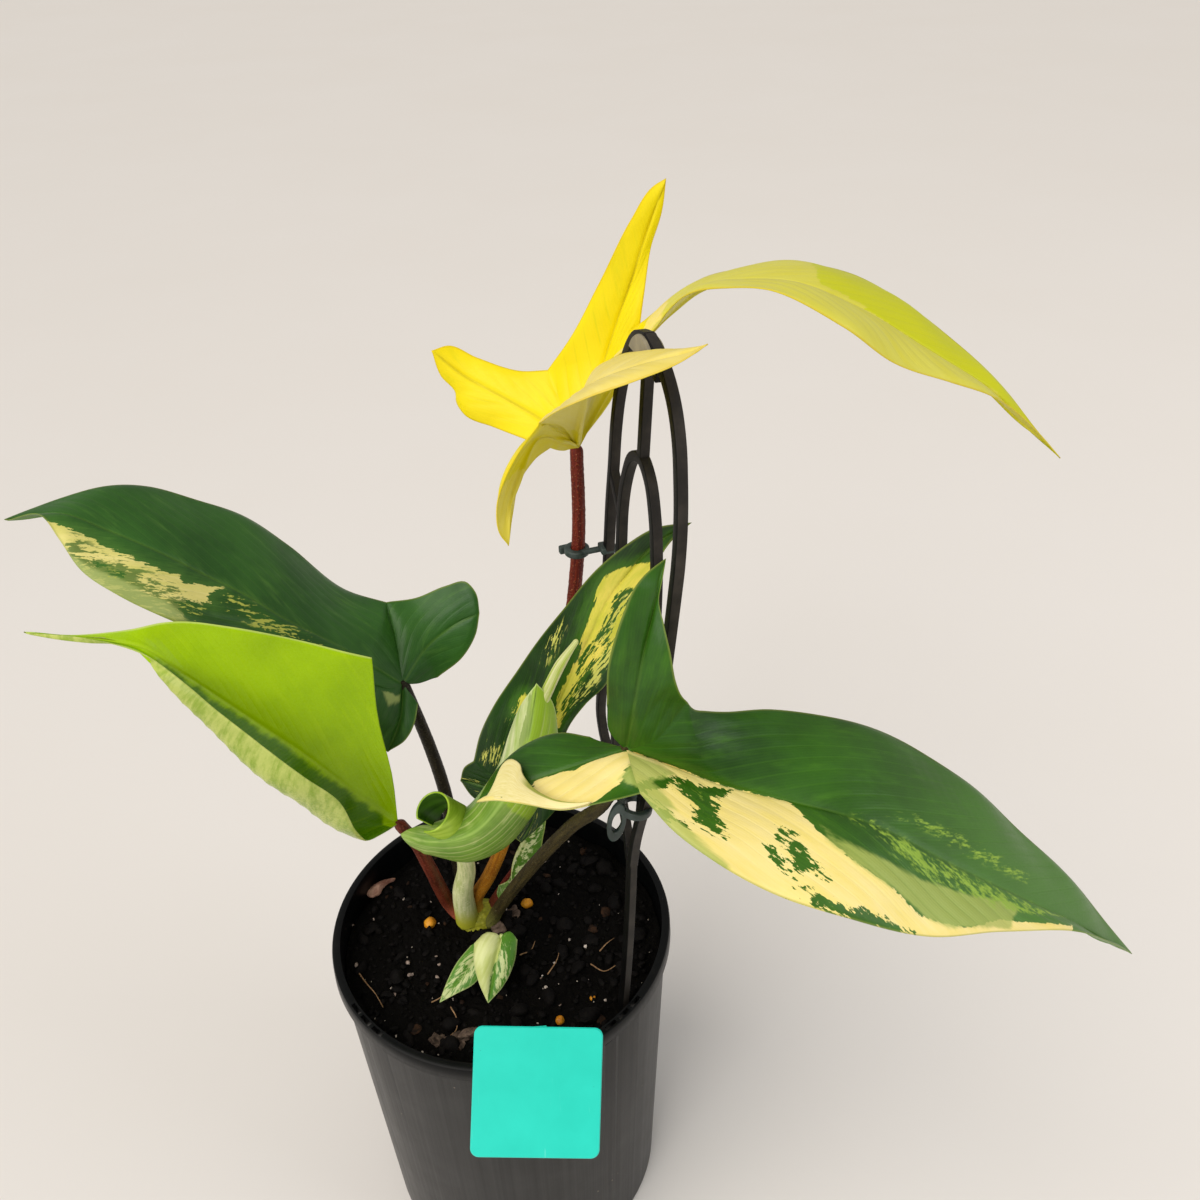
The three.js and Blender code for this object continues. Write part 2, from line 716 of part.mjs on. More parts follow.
// The half-round knob under the moulding's top: its straight side's height, and its size
const KNOB_HEIGHT = 249;
const KNOB_RADIUS = 10.5;
const KNOB_EXTRA_THICKNESS = 1.6;

function trellisSolid(extra = 0) {
  const bars = BARS.map((points) => bar(points, TRELLIS_BAR, extra));
  const stake = bar(STAKE, STAKE_WIDTH, extra, 4);
  const knobShape = new THREE.Shape();
  knobShape.absarc(0, KNOB_HEIGHT, KNOB_RADIUS + extra, 0, Math.PI, false);
  const depth = TRELLIS_THICKNESS + KNOB_EXTRA_THICKNESS + 2 * extra;
  const knob = new THREE.ExtrudeGeometry(knobShape, { depth, bevelEnabled: false, curveSegments: 14 });
  knob.translate(0, 0, -depth / 2);
  knob.applyMatrix4(trellisPlace());
  return joined([...bars, stake, solidOf(knob)]);
}

// A ring of rectangular section. It lies level before it is stretched along Y and tilted.
function ringSolid(centre, innerRadius, outerRadius, height, stretch = 1, tilt = [0, 0]) {
  const ring = new THREE.Shape();
  ring.absarc(0, 0, outerRadius, 0, 2 * Math.PI, false);
  const opening = new THREE.Path();
  opening.absarc(0, 0, innerRadius, 0, 2 * Math.PI, true);
  ring.holes.push(opening);
  const geometry = new THREE.ExtrudeGeometry(ring, { depth: height, bevelEnabled: false, curveSegments: 9 });
  geometry.translate(0, 0, -height / 2);
  geometry.scale(1, stretch, 1);
  geometry.rotateX(degrees(tilt[0]));
  geometry.rotateY(degrees(tilt[1]));
  geometry.translate(...centre);
  return solidOf(geometry);
}

function boxSolid(size, centre, turn = 0) {
  const geometry = new THREE.BoxGeometry(...size);
  geometry.rotateZ(degrees(turn));
  geometry.translate(...centre);
  return solidOf(geometry);
}

// The clip that ties the tall stalk to the trellis: a ring, a thumb tab, a rising arm and a sleeve
const UPPER_CLIP = {
  ring: { centre: [35.6, 4.6, 314.8], inner: 1.8, outer: 3.9, height: 2.2 },
  tab: { size: [4.2, 2, 2.6], centre: [32, 7.4, 313.6], turn: 20 },
  arm: { route: [[37.2, 2.8, 315], [45, -2.4, 319.8]], radius: 1 },
  sleeve: { size: [5, 4.8, 2.2], centre: [45, -2.4, 319.8], turn: TRELLIS_TURN },
};

function upperClipSolid(cutters) {
  const { ring, tab, arm, sleeve } = UPPER_CLIP;
  return largest(cutBy(joined([
    ringSolid(ring.centre, ring.inner, ring.outer, ring.height),
    boxSolid(tab.size, tab.centre, tab.turn),
    stemSolid(arm.route, [arm.radius, arm.radius], 2, 0, 4),
    boxSolid(sleeve.size, sleeve.centre, sleeve.turn),
  ]), cutters));
}

// The lower clip: a collar round the near leg of the trellis, with a hanging finger loop
const LOWER_CLIP = {
  collar: { centre: [51, -43, 251.3], inner: 3.4, outer: 5.2, height: 2.6, stretch: 1.1, tilt: [-6, 8] },
  loop: { centre: [45, -45.8, 248], inner: 1.4, outer: 2.7, height: 2.2, stretch: 2.9, tilt: [90, 10] },
};

function lowerClipSolid(cutters) {
  const rings = Object.values(LOWER_CLIP).map(({ centre, inner, outer, height, stretch, tilt }) => (
    ringSolid(centre, inner, outer, height, stretch, tilt)
  ));
  return largest(cutBy(joined(rings), cutters));
}

// Plant label: a rounded plate that leans back over the lip, on a spike in the potting mix
function labelSolid() {
  const half = LABEL_SIZE / 2;
  const straight = half - LABEL_CORNER;
  const plate = new THREE.Shape();
  [[1, 1, 0], [-1, 1, 90], [-1, -1, 180], [1, -1, 270]].forEach(([x, y, start]) => {
    plate.absarc(x * straight, y * straight, LABEL_CORNER, degrees(start), degrees(start + 90), false);
  });
  const depth = LABEL_THICKNESS;
  const face = new THREE.ExtrudeGeometry(plate, { depth, bevelEnabled: false, curveSegments: 4 });
  face.rotateZ(degrees(LABEL_ROLL));
  face.rotateX(degrees(90 - LABEL_LEAN));
  face.rotateZ(degrees(LABEL_TURN));
  face.translate(...LABEL_CENTRE);
  return solidOf(face);
}

function spikeSolid(extra = 0) {
  const size = [SPIKE_WIDTH + 2 * extra, SPIKE_THICKNESS + 2 * extra, SPIKE_LENGTH + 2 * extra];
  const [x, y, z] = SPIKE_TOP;
  return boxSolid(size, [x, y, z - SPIKE_LENGTH / 2], LABEL_TURN);
}

const BIG_LEAF = { foldRows: 3, across: 4, pitch: 13 };
const LOBED_LEAF = { foldRows: 4, across: 3, pitch: 11 };
const SMALL_LEAF = { foldRows: 2, across: 2, pitch: 8 };
const FAT_BLADE = BLADE_THICKNESS + 2 * TOUCH_GAP;
const STALK_STEPS = 16;
const SHEATH_STEPS = 10;
const CROWN_GAP = 1.2 * TOUCH_GAP;

const crownGeometry = new THREE.SphereGeometry(1, 12, 8);
crownGeometry.scale(...CROWN_RADII);
crownGeometry.translate(...CROWN_CENTRE);
const crown = solidOf(crownGeometry);
const fatCrownGeometry = new THREE.SphereGeometry(1, 12, 8);
fatCrownGeometry.scale(...CROWN_RADII.map((radius) => radius + CROWN_GAP));
fatCrownGeometry.translate(...CROWN_CENTRE);
const fatCrown = solidOf(fatCrownGeometry);

const blades = {
  leaf_top: [TOP_LEAF, LOBED_LEAF],
  leaf_left: [LEFT_LEAF, BIG_LEAF],
  leaf_front: [FRONT_LEAF, BIG_LEAF],
  leaf_right: [RIGHT_LEAF, BIG_LEAF],
  leaf_back: [BACK_LEAF, BIG_LEAF],
  leaf_new: [NEW_LEAF, BIG_LEAF],
};

const solids = {};
const fat = {};
Object.entries(blades).forEach(([name, [leaf, size]]) => {
  solids[name] = bladeSolid(leaf, size, BLADE_THICKNESS);
  fat[name] = bladeSolid(leaf, size, FAT_BLADE);
});

// The rolled base of the new leaf: a thin scroll, open at both ends
function rollSolid({ from, to, radius }) {
  const turns = Array.from({ length: ROLL_POINTS }, (_, k) => degrees(ROLL_START + ROLL_STEP * k));
  const scroll = (inset) => turns.map((angle, k) => {
    const r = radius - ROLL_TIGHTENING * k - inset;
    return new THREE.Vector2(r * Math.cos(angle), r * Math.sin(angle));
  });
  const section = new THREE.Shape([...scroll(0), ...scroll(BLADE_THICKNESS).reverse()]);
  const path = new THREE.LineCurve3(vector(from), vector(to));
  return solidOf(new THREE.ExtrudeGeometry(section, { steps: 3, bevelEnabled: false, extrudePath: path }));
}
solids.leaf_new = largest(joined([
  solids.leaf_new, rollSolid(NEW_LEAF_ROLL), stemSolid(NEW_LEAF_POINT, NEW_LEAF_POINT_RADII, 10),
]));

Object.entries(STALKS).forEach(([name, { route, radii }]) => {
  const blade = name.replace('petiole', 'leaf');
  const earlier = Object.keys(STALKS).filter((other) => solids[other]);
  const cutters = [fatCrown, fat[blade], solids[blade], ...earlier.map((other) => fat[other])];
  solids[name] = largest(cutBy(stemSolid(route, radii, STALK_STEPS), cutters));
  fat[name] = stemSolid(route, radii, STALK_STEPS, TOUCH_GAP);
});
const allStalks = Object.keys(STALKS).map((name) => fat[name]);
const sheath = stemSolid(SHEATH_ROUTE, SHEATH_RADII, SHEATH_STEPS);
solids.sheath = largest(cutBy(sheath, [fatCrown, fat.leaf_new, ...allStalks]));
fat.sheath = stemSolid(SHEATH_ROUTE, SHEATH_RADII, SHEATH_STEPS, TOUCH_GAP);
solids.bract = largest(cutBy(bladeSolid(BRACT, SMALL_LEAF, BLADE_THICKNESS), [fatCrown, ...allStalks]));
solids.crown = crown;

const shootStem = stemSolid(SHOOT_ROUTE, SHOOT_RADII, 6, 0, SHOOT_SIDES);
solids.shoot = joined([
  shootStem,
  bladeSolid(SHOOT_LEAF_LEFT, SMALL_LEAF, BLADE_THICKNESS),
  bladeSolid(SHOOT_LEAF_RIGHT, SMALL_LEAF, BLADE_THICKNESS),
]);

const fatTrellis = trellisSolid(TOUCH_GAP);
solids.trellis = trellisSolid();
solids.clip_upper = upperClipSolid([fatTrellis, fat.petiole_top]);
solids.clip_lower = lowerClipSolid([fatTrellis, fat.petiole_right]);
solids.label = joined([labelSolid(), spikeSolid(), boxSolid(SPIKE_ROOT, SPIKE_ROOT_CENTRE, LABEL_TURN)]);
solids.pot = potSolid();
solids.soil = soilSolid([
  fatCrown, fat.sheath, ...allStalks, fatTrellis, spikeSolid(TOUCH_GAP),
  stemSolid(SHOOT_ROUTE, SHOOT_RADII, 6, TOUCH_GAP, SHOOT_SIDES),
]);

const LOOKS = {
  pot: ['#232425', 0.42],
  soil: ['#1c1715', 0.95],
  crown: ['#8f9a2c', 0.5],
  leaf_top: ['#f4e13a', 0.4],
  leaf_left: ['#2f5f24', 0.38],
  leaf_front: ['#8fc21a', 0.32],
  leaf_right: ['#2f6a20', 0.38],
  leaf_back: ['#2c5320', 0.4],
  leaf_new: ['#a3c75e', 0.38],
  petiole_top: ['#6b2a1c', 0.6],
  petiole_left: ['#2b2a1a', 0.55],
  petiole_front: ['#7a3a2c', 0.55],
  petiole_right: ['#4a4024', 0.6],
  petiole_back: ['#a8701e', 0.5],
  sheath: ['#cdd68f', 0.45],
  bract: ['#9dbb52', 0.45],
  shoot: ['#8fb24a', 0.4],
  trellis: ['#1b1c1c', 0.4],
  clip_upper: ['#3a4644', 0.45],
  clip_lower: ['#42504e', 0.45],
  label: ['#33e0cc', 0.4],
};

const plant = new THREE.Group();
Object.entries(LOOKS).forEach(([name, [color, roughness]]) => {
  const material = new THREE.MeshStandardMaterial({ color, roughness, metalness: 0 });
  const mesh = new THREE.Mesh(geometryOf(solids[name]), material);
  mesh.name = name;
  plant.add(mesh);
});

export default plant;
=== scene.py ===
"""A young lobed climbing philodendron with variegated leaves, in a black nursery pot.

Metres, +Z up. The origin is the centre of the pot's flat base, and -Y is the plant's front.
The tables hold millimetres, which MM turns into metres.
"""

import math
import random

import bpy
import numpy as np
from mathutils import Matrix, Vector, noise


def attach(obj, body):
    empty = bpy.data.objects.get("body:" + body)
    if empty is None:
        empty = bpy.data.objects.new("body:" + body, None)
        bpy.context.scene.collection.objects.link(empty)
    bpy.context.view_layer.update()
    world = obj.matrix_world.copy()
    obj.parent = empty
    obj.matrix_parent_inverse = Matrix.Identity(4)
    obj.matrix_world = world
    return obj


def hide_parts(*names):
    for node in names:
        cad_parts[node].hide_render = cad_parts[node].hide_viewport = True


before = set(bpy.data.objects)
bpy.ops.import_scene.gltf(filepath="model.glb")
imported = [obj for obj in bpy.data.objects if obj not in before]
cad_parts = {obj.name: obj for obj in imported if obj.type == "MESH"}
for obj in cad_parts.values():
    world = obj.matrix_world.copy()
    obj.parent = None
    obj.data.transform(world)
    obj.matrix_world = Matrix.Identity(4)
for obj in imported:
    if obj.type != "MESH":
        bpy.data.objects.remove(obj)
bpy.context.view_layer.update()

bl_info = {
    "name": "Potted climbing philodendron",
    "version": (1, 0, 0),
    "blender": (4, 5, 0),
    "location": "View3D > Sidebar > Plant",
    "description": "Builds a variegated climbing philodendron with its pot, trellis and label",
    "category": "Add Mesh",
}

MM = 0.001

# Each leaf is given by the point where its stalk joins, the folds that run from there to the
# notches between its lobes, and for each lobe its midrib and its two margins up to the tip.
# root is the share of the midrib beside the folds, and sag arches the lobes' left and right halves.
TOP_LEAF = {
    "hub": [37, -2, 354], "sag": [0.1, 0.1],
    "folds": [
        [[31, 4, 351], [23, 10, 350]], [[33, 12, 359], [29, 22, 367]], [[48, 4, 367], [56, 10, 385]],
        [[40, -5, 366], [44, -5, 377]], [[34, -18, 368], [29, -44, 382]], [[34, -8, 356], [30, -18, 362]]
    ],
    "lobes": [
        {
            "tip": [-5, 25, 373], "root": 0.35,
            "left": [[12, 18, 351], [3, 22, 354], [1, 24, 357], [1, 24, 360], [-3, 25, 365]],
            "vein": [[28, 12, 355], [15, 20, 360], [3, 24, 366]],
            "right": [[21, 24, 366], [8, 26, 370], [0, 26, 374]],
        },
        {
            "tip": [63, 10, 424], "root": 0.35,
            "left": [[36, 20, 377], [45, 16, 395], [54, 13, 413], [60, 11, 422]],
            "vein": [[43, 12, 365], [51, 14, 388], [58, 12, 409]],
            "right": [[57, 11, 392], [59, 12, 405], [62, 11, 416]],
        },
        {
            "tip": [173, -10, 349], "root": 0.16,
            "left": [
                [65, 12, 391], [74, 12, 397], [86, 10, 400], [99, 8, 401], [112, 6, 399], [127, 2, 391],
                [142, -3, 381], [155, -8, 369]
            ],
            "vein": [
                [43, 1, 364], [50, 4, 374], [57, 4, 383], [64, 0, 393], [72, -7, 401], [84, -15, 405],
                [94, -19, 405], [110, -18, 398], [127, -16, 387], [147, -13, 373]
            ],
            "right": [
                [51, 0, 381], [55, 0, 383], [59, -2, 388], [62, -8, 395], [67, -18, 403], [74, -28, 408],
                [84, -38, 411], [101, -40, 402], [115, -35, 391], [133, -27, 381], [151, -18, 371]
            ],
        },
        {
            "tip": [67, -64, 409], "root": 0.45,
            "left": [[46, -16, 385], [50, -27, 392], [54, -36, 396], [58, -44, 399], [64, -54, 403]],
            "vein": [[39, -20, 372], [43, -42, 391], [53, -56, 401]],
            "right": [[34, -54, 390], [40, -60, 395], [52, -66, 402], [61, -66, 406]],
        },
        {
            "tip": [20, -53, 353], "root": 0.3,
            "left": [[25, -50, 379], [21, -54, 373], [18, -55, 365], [18, -54, 357]],
            "vein": [[33, -15, 363], [27, -31, 371], [23, -42, 368], [20, -50, 361]],
            "right": [[26, -30, 364], [22, -42, 363], [21, -50, 359]],
        },
    ],
}

LEFT_LEAF = {
    "hub": [-28, 20, 252], "sag": [0.1, 0.1],
    "folds": [
        [[-26, 18, 250], [-23, 16, 246]], [[-32, 15, 254], [-39, 11, 261]],
        [[-31, 32, 262], [-34, 42, 272]], [[-23, 24, 249], [-17, 28, 248]]
    ],
    "lobes": [
        {
            "tip": [-34, 6, 233], "root": 0.35,
            "left": [[-24, 11, 242], [-28, 8, 236]],
            "vein": [[-29, 12, 243]],
            "right": [[-39, 4, 254], [-38, 4, 241]],
        },
        {
            "tip": [-136, 5, 332], "root": 0.12,
            "left": [
                [-51, 5, 273], [-67, -1, 285], [-82, -6, 296], [-92, -10, 306], [-101, -11, 314],
                [-112, -7, 321], [-118, -2, 329], [-123, 2, 335]
            ],
            "vein": [
                [-46, 14, 274], [-61, 12, 287], [-72, 11, 298], [-83, 10, 307], [-94, 8, 317],
                [-107, 7, 326], [-119, 6, 333]
            ],
            "right": [
                [-48, 44, 276], [-65, 44, 296], [-79, 42, 310], [-89, 38, 318], [-102, 32, 327],
                [-112, 24, 332], [-123, 16, 333], [-130, 9, 333]
            ],
        },
        {
            "tip": [-1, 39, 268], "root": 0.35,
            "left": [[-24, 44, 272], [-13, 45, 276], [-5, 44, 278], [-2, 42, 275]],
            "vein": [[-19, 32, 260], [-8, 38, 265]],
            "right": [[-8, 33, 253], [-3, 37, 260]],
        },
    ],
}

FRONT_LEAF = {
    "hub": [-31, -10, 214], "sag": [-0.85, -0.08],
    "folds": [[[-34, -18, 218], [-39, -24, 221]], [[-31, -6, 229], [-33, -3, 258], [-32, -1, 280]]],
    "lobes": [
        {
            "tip": [-128, -20, 308], "root": 0.16,
            "left": [
                [-40, -30, 232], [-43, -33, 249], [-51, -34, 260], [-63, -31.5, 271.5],
                [-75, -27.5, 282.5], [-82.5, -24, 289], [-94, -20.5, 298], [-111, -21.4, 306.6]
            ],
            "vein": [
                [-44, -12, 233], [-57, -14, 252], [-72, -15, 270], [-85, -17, 287], [-96, -19, 301],
                [-112, -20, 306]
            ],
            "right": [[-53, -4, 290], [-72, -9, 300], [-90, -13, 305], [-99, -16, 305], [-112, -19, 306]],
        },
    ],
}

RIGHT_LEAF = {
    "hub": [48, -62, 292], "sag": [0.08, 0.08],
    "folds": [
        [[44, -62, 298], [43, -63, 309]], [[56, -65, 298], [64.5, -63, 308.6]],
        [[49, -70, 293], [51, -78, 291]], [[43, -58, 291], [38, -55, 291]]
    ],
    "lobes": [
        {
            "tip": [59, -55, 349], "root": 0.35,
            "left": [[44, -65, 325], [48, -62, 338], [51, -60, 344], [54, -57, 346]],
            "vein": [[51, -65, 315], [55, -60, 335]],
            "right": [
                [62.9, -64, 311.5], [61, -65.5, 318], [59.6, -65, 327], [58, -62, 334], [57, -59, 339],
                [58, -57, 344]
            ],
        },
        {
            "tip": [204, -68, 205], "root": 0.12,
            "left": [
                [66.1, -62, 305.7], [69.8, -59, 302.2], [75.5, -56, 299], [88, -52, 296], [106, -49, 290],
                [128, -48, 279], [147, -50, 265], [166, -54, 247], [185, -60, 228]
            ],
            "vein": [
                [62, -66, 288], [74, -70, 285], [92, -74, 282], [109, -78, 279], [138, -80, 261],
                [173, -76, 234]
            ],
            "right": [
                [59, -88, 287], [68, -96, 285], [85, -102, 277], [103, -104, 270], [126, -100, 257],
                [148, -92, 248], [180, -80, 231]
            ],
        },
        {
            "tip": [5, -60, 272], "root": 0.35,
            "left": [[40, -80, 290], [30, -80, 288], [22, -78, 288], [13, -70, 282]],
            "vein": [[38, -64, 290], [26, -66, 287], [14, -65, 281]],
            "right": [[30, -52, 290], [20, -52, 286], [11, -56, 280]],
        },
    ],
}

BACK_LEAF = {
    "hub": [10, 0, 215], "sag": [0.08, 0.08],
    "folds": [
        [[2, 2, 208], [-3, 4, 209]], [[3, 1, 225], [-4, 3, 230]], [[19, -4, 228], [27, -6, 241]],
        [[7, 0, 208], [6, 0, 203]]
    ],
    "lobes": [
        {
            "tip": [-10, 6, 218], "root": 0.35,
            "left": [[-6, 5, 211]],
            "vein": [[0, 3, 217]],
            "right": [[-8, 5, 225]],
        },
        {
            "tip": [68, -28, 343], "root": 0.15,
            "left": [
                [-1, 3, 241], [5, 2, 255], [15, 0, 273], [30, -9, 301], [43, -17, 323], [50, -21, 332],
                [58, -24, 339]
            ],
            "vein": [[18, -4, 240], [28, -8, 265], [37, -14, 291], [46, -19, 314], [56, -23, 331]],
            "right": [
                [30, -8, 253], [36, -12, 266], [44, -18, 281], [49, -21, 298], [54, -24, 315],
                [58, -26, 328], [62, -27, 336]
            ],
        },
        {
            "tip": [11, -6, 198], "root": 0.35,
            "left": [[31, -5, 242], [31, -5, 231], [27, -5, 218], [19, -6, 207]],
            "vein": [[16, -3, 212]],
            "right": [[7, -3, 200]],
        },
    ],
}

NEW_LEAF = {
    "hub": [-28, -20, 219], "sag": [0.25, 0.25],
    "folds": [[[-24, -20, 221], [-18, -19, 222]], [[-25, -21, 214], [-21, -22, 211]]],
    "lobes": [
        {
            "tip": [22, -22, 284], "root": 0.15,
            "left": [[-6, -17, 227], [4, -16, 239], [12, -19, 262], [18, -21, 277]],
            "vein": [[-17, -26, 221], [-3, -29, 227], [10, -28, 243], [18, -26, 264]],
            "right": [
                [-6, -21, 206], [5, -18, 209], [17, -16, 222], [24, -15, 239], [27, -18, 261],
                [26, -20, 276]
            ],
        },
    ],
}

# The unopened end of the new leaf, as a tube, and the scroll at its base: the ends of the scroll's
# axis, its outer radius, what it loses of that as it winds in, its first angle and how far it turns
NEW_LEAF_POINT = [
    [11, -24.5, 247.5], [16, -22.5, 258.5], [24, -20, 277], [29.4, -20, 289.2], [34.6, -20.5, 298.2]
]
NEW_LEAF_POINT_RADII = [2.4, 1.4]
SCROLL_FROM = [-15.6, -23.5, 233]
SCROLL_TO = [-10, -18.5, 222.5]
SCROLL_RADIUS = 7.4
SCROLL_INWARDS = 1.26
SCROLL_ANGLE = -70
SCROLL_TURN = 308
ROLLED_THICKNESS = 0.6

# A narrow variegated scale leaf beside the stalks
BRACT = {
    "hub": [-1, 9, 150], "sag": [0.3, 0.3],
    "folds": [[[2, 8, 153], [4, 7, 157]], [[-2, 9, 154], [-1, 9, 159]]],
    "lobes": [
        {
            "tip": [21, 8, 207], "root": 0.15,
            "left": [[5, 9, 170], [12, 9, 188]],
            "vein": [[5, 9, 167], [12, 8, 186]],
            "right": [[12, 8, 167], [18, 8, 187]],
        },
    ],
}

# The two small heart-shaped leaves of the side shoot
SHOOT_LEAF_LEFT = {
    "hub": [0, -12, 151], "sag": [0.2, 0.2],
    "folds": [[[-3, -16, 151], [-5, -21, 149]], [[-6, -11, 152], [-11, -13, 151]]],
    "lobes": [
        {
            "tip": [-22, -31, 142], "root": 0.15,
            "left": [[-9, -26, 146], [-16, -29, 144]],
            "vein": [[-8, -17, 150], [-14, -24, 147]],
            "right": [[-16, -19, 149], [-20, -26, 145]],
        },
    ],
}
SHOOT_LEAF_RIGHT = {
    "hub": [1, -13, 155], "sag": [0.35, 0.5],
    "folds": [[[4, -12, 157], [7, -15, 156]], [[-4, -12, 157], [-9, -16, 156]]],
    "lobes": [
        {
            "tip": [-4, -32, 142], "root": 0.15,
            "left": [[6, -21, 152], [2, -28, 147]],
            "vein": [[0, -18, 155], [-2, -25, 150]],
            "right": [[-9, -22, 153], [-7, -28, 148]],
        },
    ],
}

# Stalks: their routes from the crown to the blades, and their radii at foot and top
STALKS = {
    "petiole_top": {
        "route": [[-6, 14, 139], [1, 16, 150], [10, 15, 168], [27, 12, 249], [36, 5, 316], [37, -2, 355]],
        "radii": [3, 1.9],
    },
    "petiole_left": {
        "route": [[-15, 16, 138], [-18, 21, 165], [-19, 22, 196], [-22, 22, 219], [-28, 20, 253]],
        "radii": [2.8, 2.1],
    },
    "petiole_front": {
        "route": [[-18, 13, 137], [-22, 13, 145], [-25, 2, 178], [-27, -5, 199], [-31, -10, 215]],
        "radii": [2.9, 2.2],
    },
    "petiole_right": {
        "route": [[-6, 8, 138], [-1, 5, 151], [13, -6, 184], [30, -24, 224], [41, -42, 252], [48, -62, 293]],
        "radii": [2.5, 2.1],
    },
    "petiole_back": {
        "route": [[-11, 12, 140], [-11, 11, 149], [-4, 7, 167], [3, 3, 188], [10, 0, 216]],
        "radii": [2.9, 2.2],
    },
}
SHEATH = {
    "route": [[-15, 9, 140], [-14.5, 5, 160], [-10.5, -3, 182], [-8.4, -20, 213.2]],
    "radii": [4.6, 2.4],
}
SHOOT = {"route": [[3, -2, 128], [2, -5, 141], [0, -11, 151], [1, -13, 156]], "radii": [1.5, 1]}
CROWN_CENTRE = [-11, 12.5, 136]
CROWN_RADII = [9.5, 7.5, 8.5]

# Pot and potting mix. The crumbs rise from CRUMB_DEPTH below the mix's level, and the mix's foot
# stands clear of the pot's wall and floor.
POT_HEIGHT = 150
POT_BODY_RADIUS = 63.4
POT_TAPER = 0.04
POT_WALL = 1.4
POT_FLOOR = 1.6
LIP_HEIGHT = 6.4
LIP_RADIUS = 65
LIP_INNER_RADIUS = 61.8
LIP_BASE = POT_HEIGHT - LIP_HEIGHT
DRAIN_HOLES = 6
DRAIN_RADIUS = 5
DRAIN_CIRCLE = 43
HANGER_ANGLES = [-137, -44, 90]
HANGER_SLOT = [5.2, 1.5, 20]
HANGER_SLOT_PITCH = 6.5
SOIL_LEVEL = 138
SOIL_ROUGHNESS = 1.1
SOIL_STEP = 0.75
SOIL_SIDES = 260
SOIL_CLEARANCE = 0.3
SOIL_EDGE_DEPTH = 4
CRUMB_DEPTH = 0.8
SOIL_FOOT_INSET = 0.8
SOIL_FOOT_LIFT = 0.4

# Trellis, in its own plane: distance across the stake, then height above its foot
TRELLIS_FOOT = [44.6, -29.6, SOIL_LEVEL]
TRELLIS_TOP = [56.5, -29.6, 397]
TRELLIS_TURN = 16
TRELLIS_THICKNESS = 2.9
TRELLIS_BAR = 3
STAKE_WIDTH = 5
NEAR_BAR = [
    [0, 259], [8, 257], [14, 254], [19.5, 249], [23.5, 242], [26, 233], [27.7, 223], [28, 211],
    [27, 200], [25.4, 186], [23.5, 170], [21.5, 145], [18, 125], [12, 107], [8, 93], [6, 80],
]
FAR_BAR = [
    [0, 259], [-8, 256.5], [-14, 250.5], [-18, 243.5], [-21.7, 234], [-24, 223], [-25, 211],
    [-26.4, 199], [-27.3, 184], [-29.3, 150], [-31, 124], [-31, 113], [-27, 107.5], [-18, 104],
    [-8, 98], [-1, 90], [4, 80],
]
ARCH = [
    [-14, 104], [-16.5, 140], [-16.3, 170], [-16, 190], [-15.6, 204], [-13, 214], [-8, 222.5],
    [-1, 225.5], [5, 222.5], [10, 214], [12.8, 203], [14, 190], [14.2, 170], [13.5, 140], [11.5, 108],
]
CENTRE_BAR = [[0, 257], [-1, 225]]
FAR_LINK = [[-25, 209.5], [-15.5, 200]]
STAKE = [[5, 86], [5.6, 70], [0, -62]]
KNOB_HEIGHT = 249
KNOB_RADIUS = 10.5
KNOB_EXTRA_THICKNESS = 1.6
KNOB_CUT = 0.44
NUB = [[8.6, 252], [9.6, 254.6], [11.4, 256]]
NUB_SIZE = (2.4, 3.4)

# Each bar is this much thinner than the one before, so that no two of their faces share a plane
BAR_STEP = 0.06
STAKE_THINNER = 0.5

# Clips. A ring's numbers are its centre, inner and outer radius, height, stretch and tilt.
UPPER_RING = ([35.6, 4.6, 314.8], 1.8, 3.9, 2.2, 1.0, (0, 0))
UPPER_TAB = ([4.2, 2, 2.6], [32, 7.4, 313.6], 20)
UPPER_ARM = [[37.2, 2.8, 315], [45, -2.4, 319.8]]
UPPER_ARM_RADIUS = 0.95
CLIP_ROUNDING = 0.5
UPPER_SLEEVE = ([5, 4.8, 2.2], [45, -2.4, 319.8], TRELLIS_TURN)
LOWER_COLLAR = ([51, -43, 251.3], 3.4, 5.2, 2.6, 1.1, (-6, 8))
LOWER_LOOP = ([45, -45.8, 248], 1.4, 2.8, 2.2, 2.9, (90, 10))

# Plant label
LABEL_SIZE = 44
LABEL_CORNER = 3
LABEL_THICKNESS = 0.9
LABEL_CENTRE = [15, -69.3, 143.9]
LABEL_LEAN = 37
LABEL_TURN = 3
LABEL_ROLL = -5.5
SPIKE_WIDTH = 8
SPIKE_THICKNESS = 1.4
SPIKE_LENGTH = 58
SPIKE_TOP = [15, -55.6, 160]
SPIKE_ROOT = [8, 4.5, 4]
SPIKE_ROOT_CENTRE = [15, -57.2, 156.5]
SPIKE_ROUNDING = 0.3

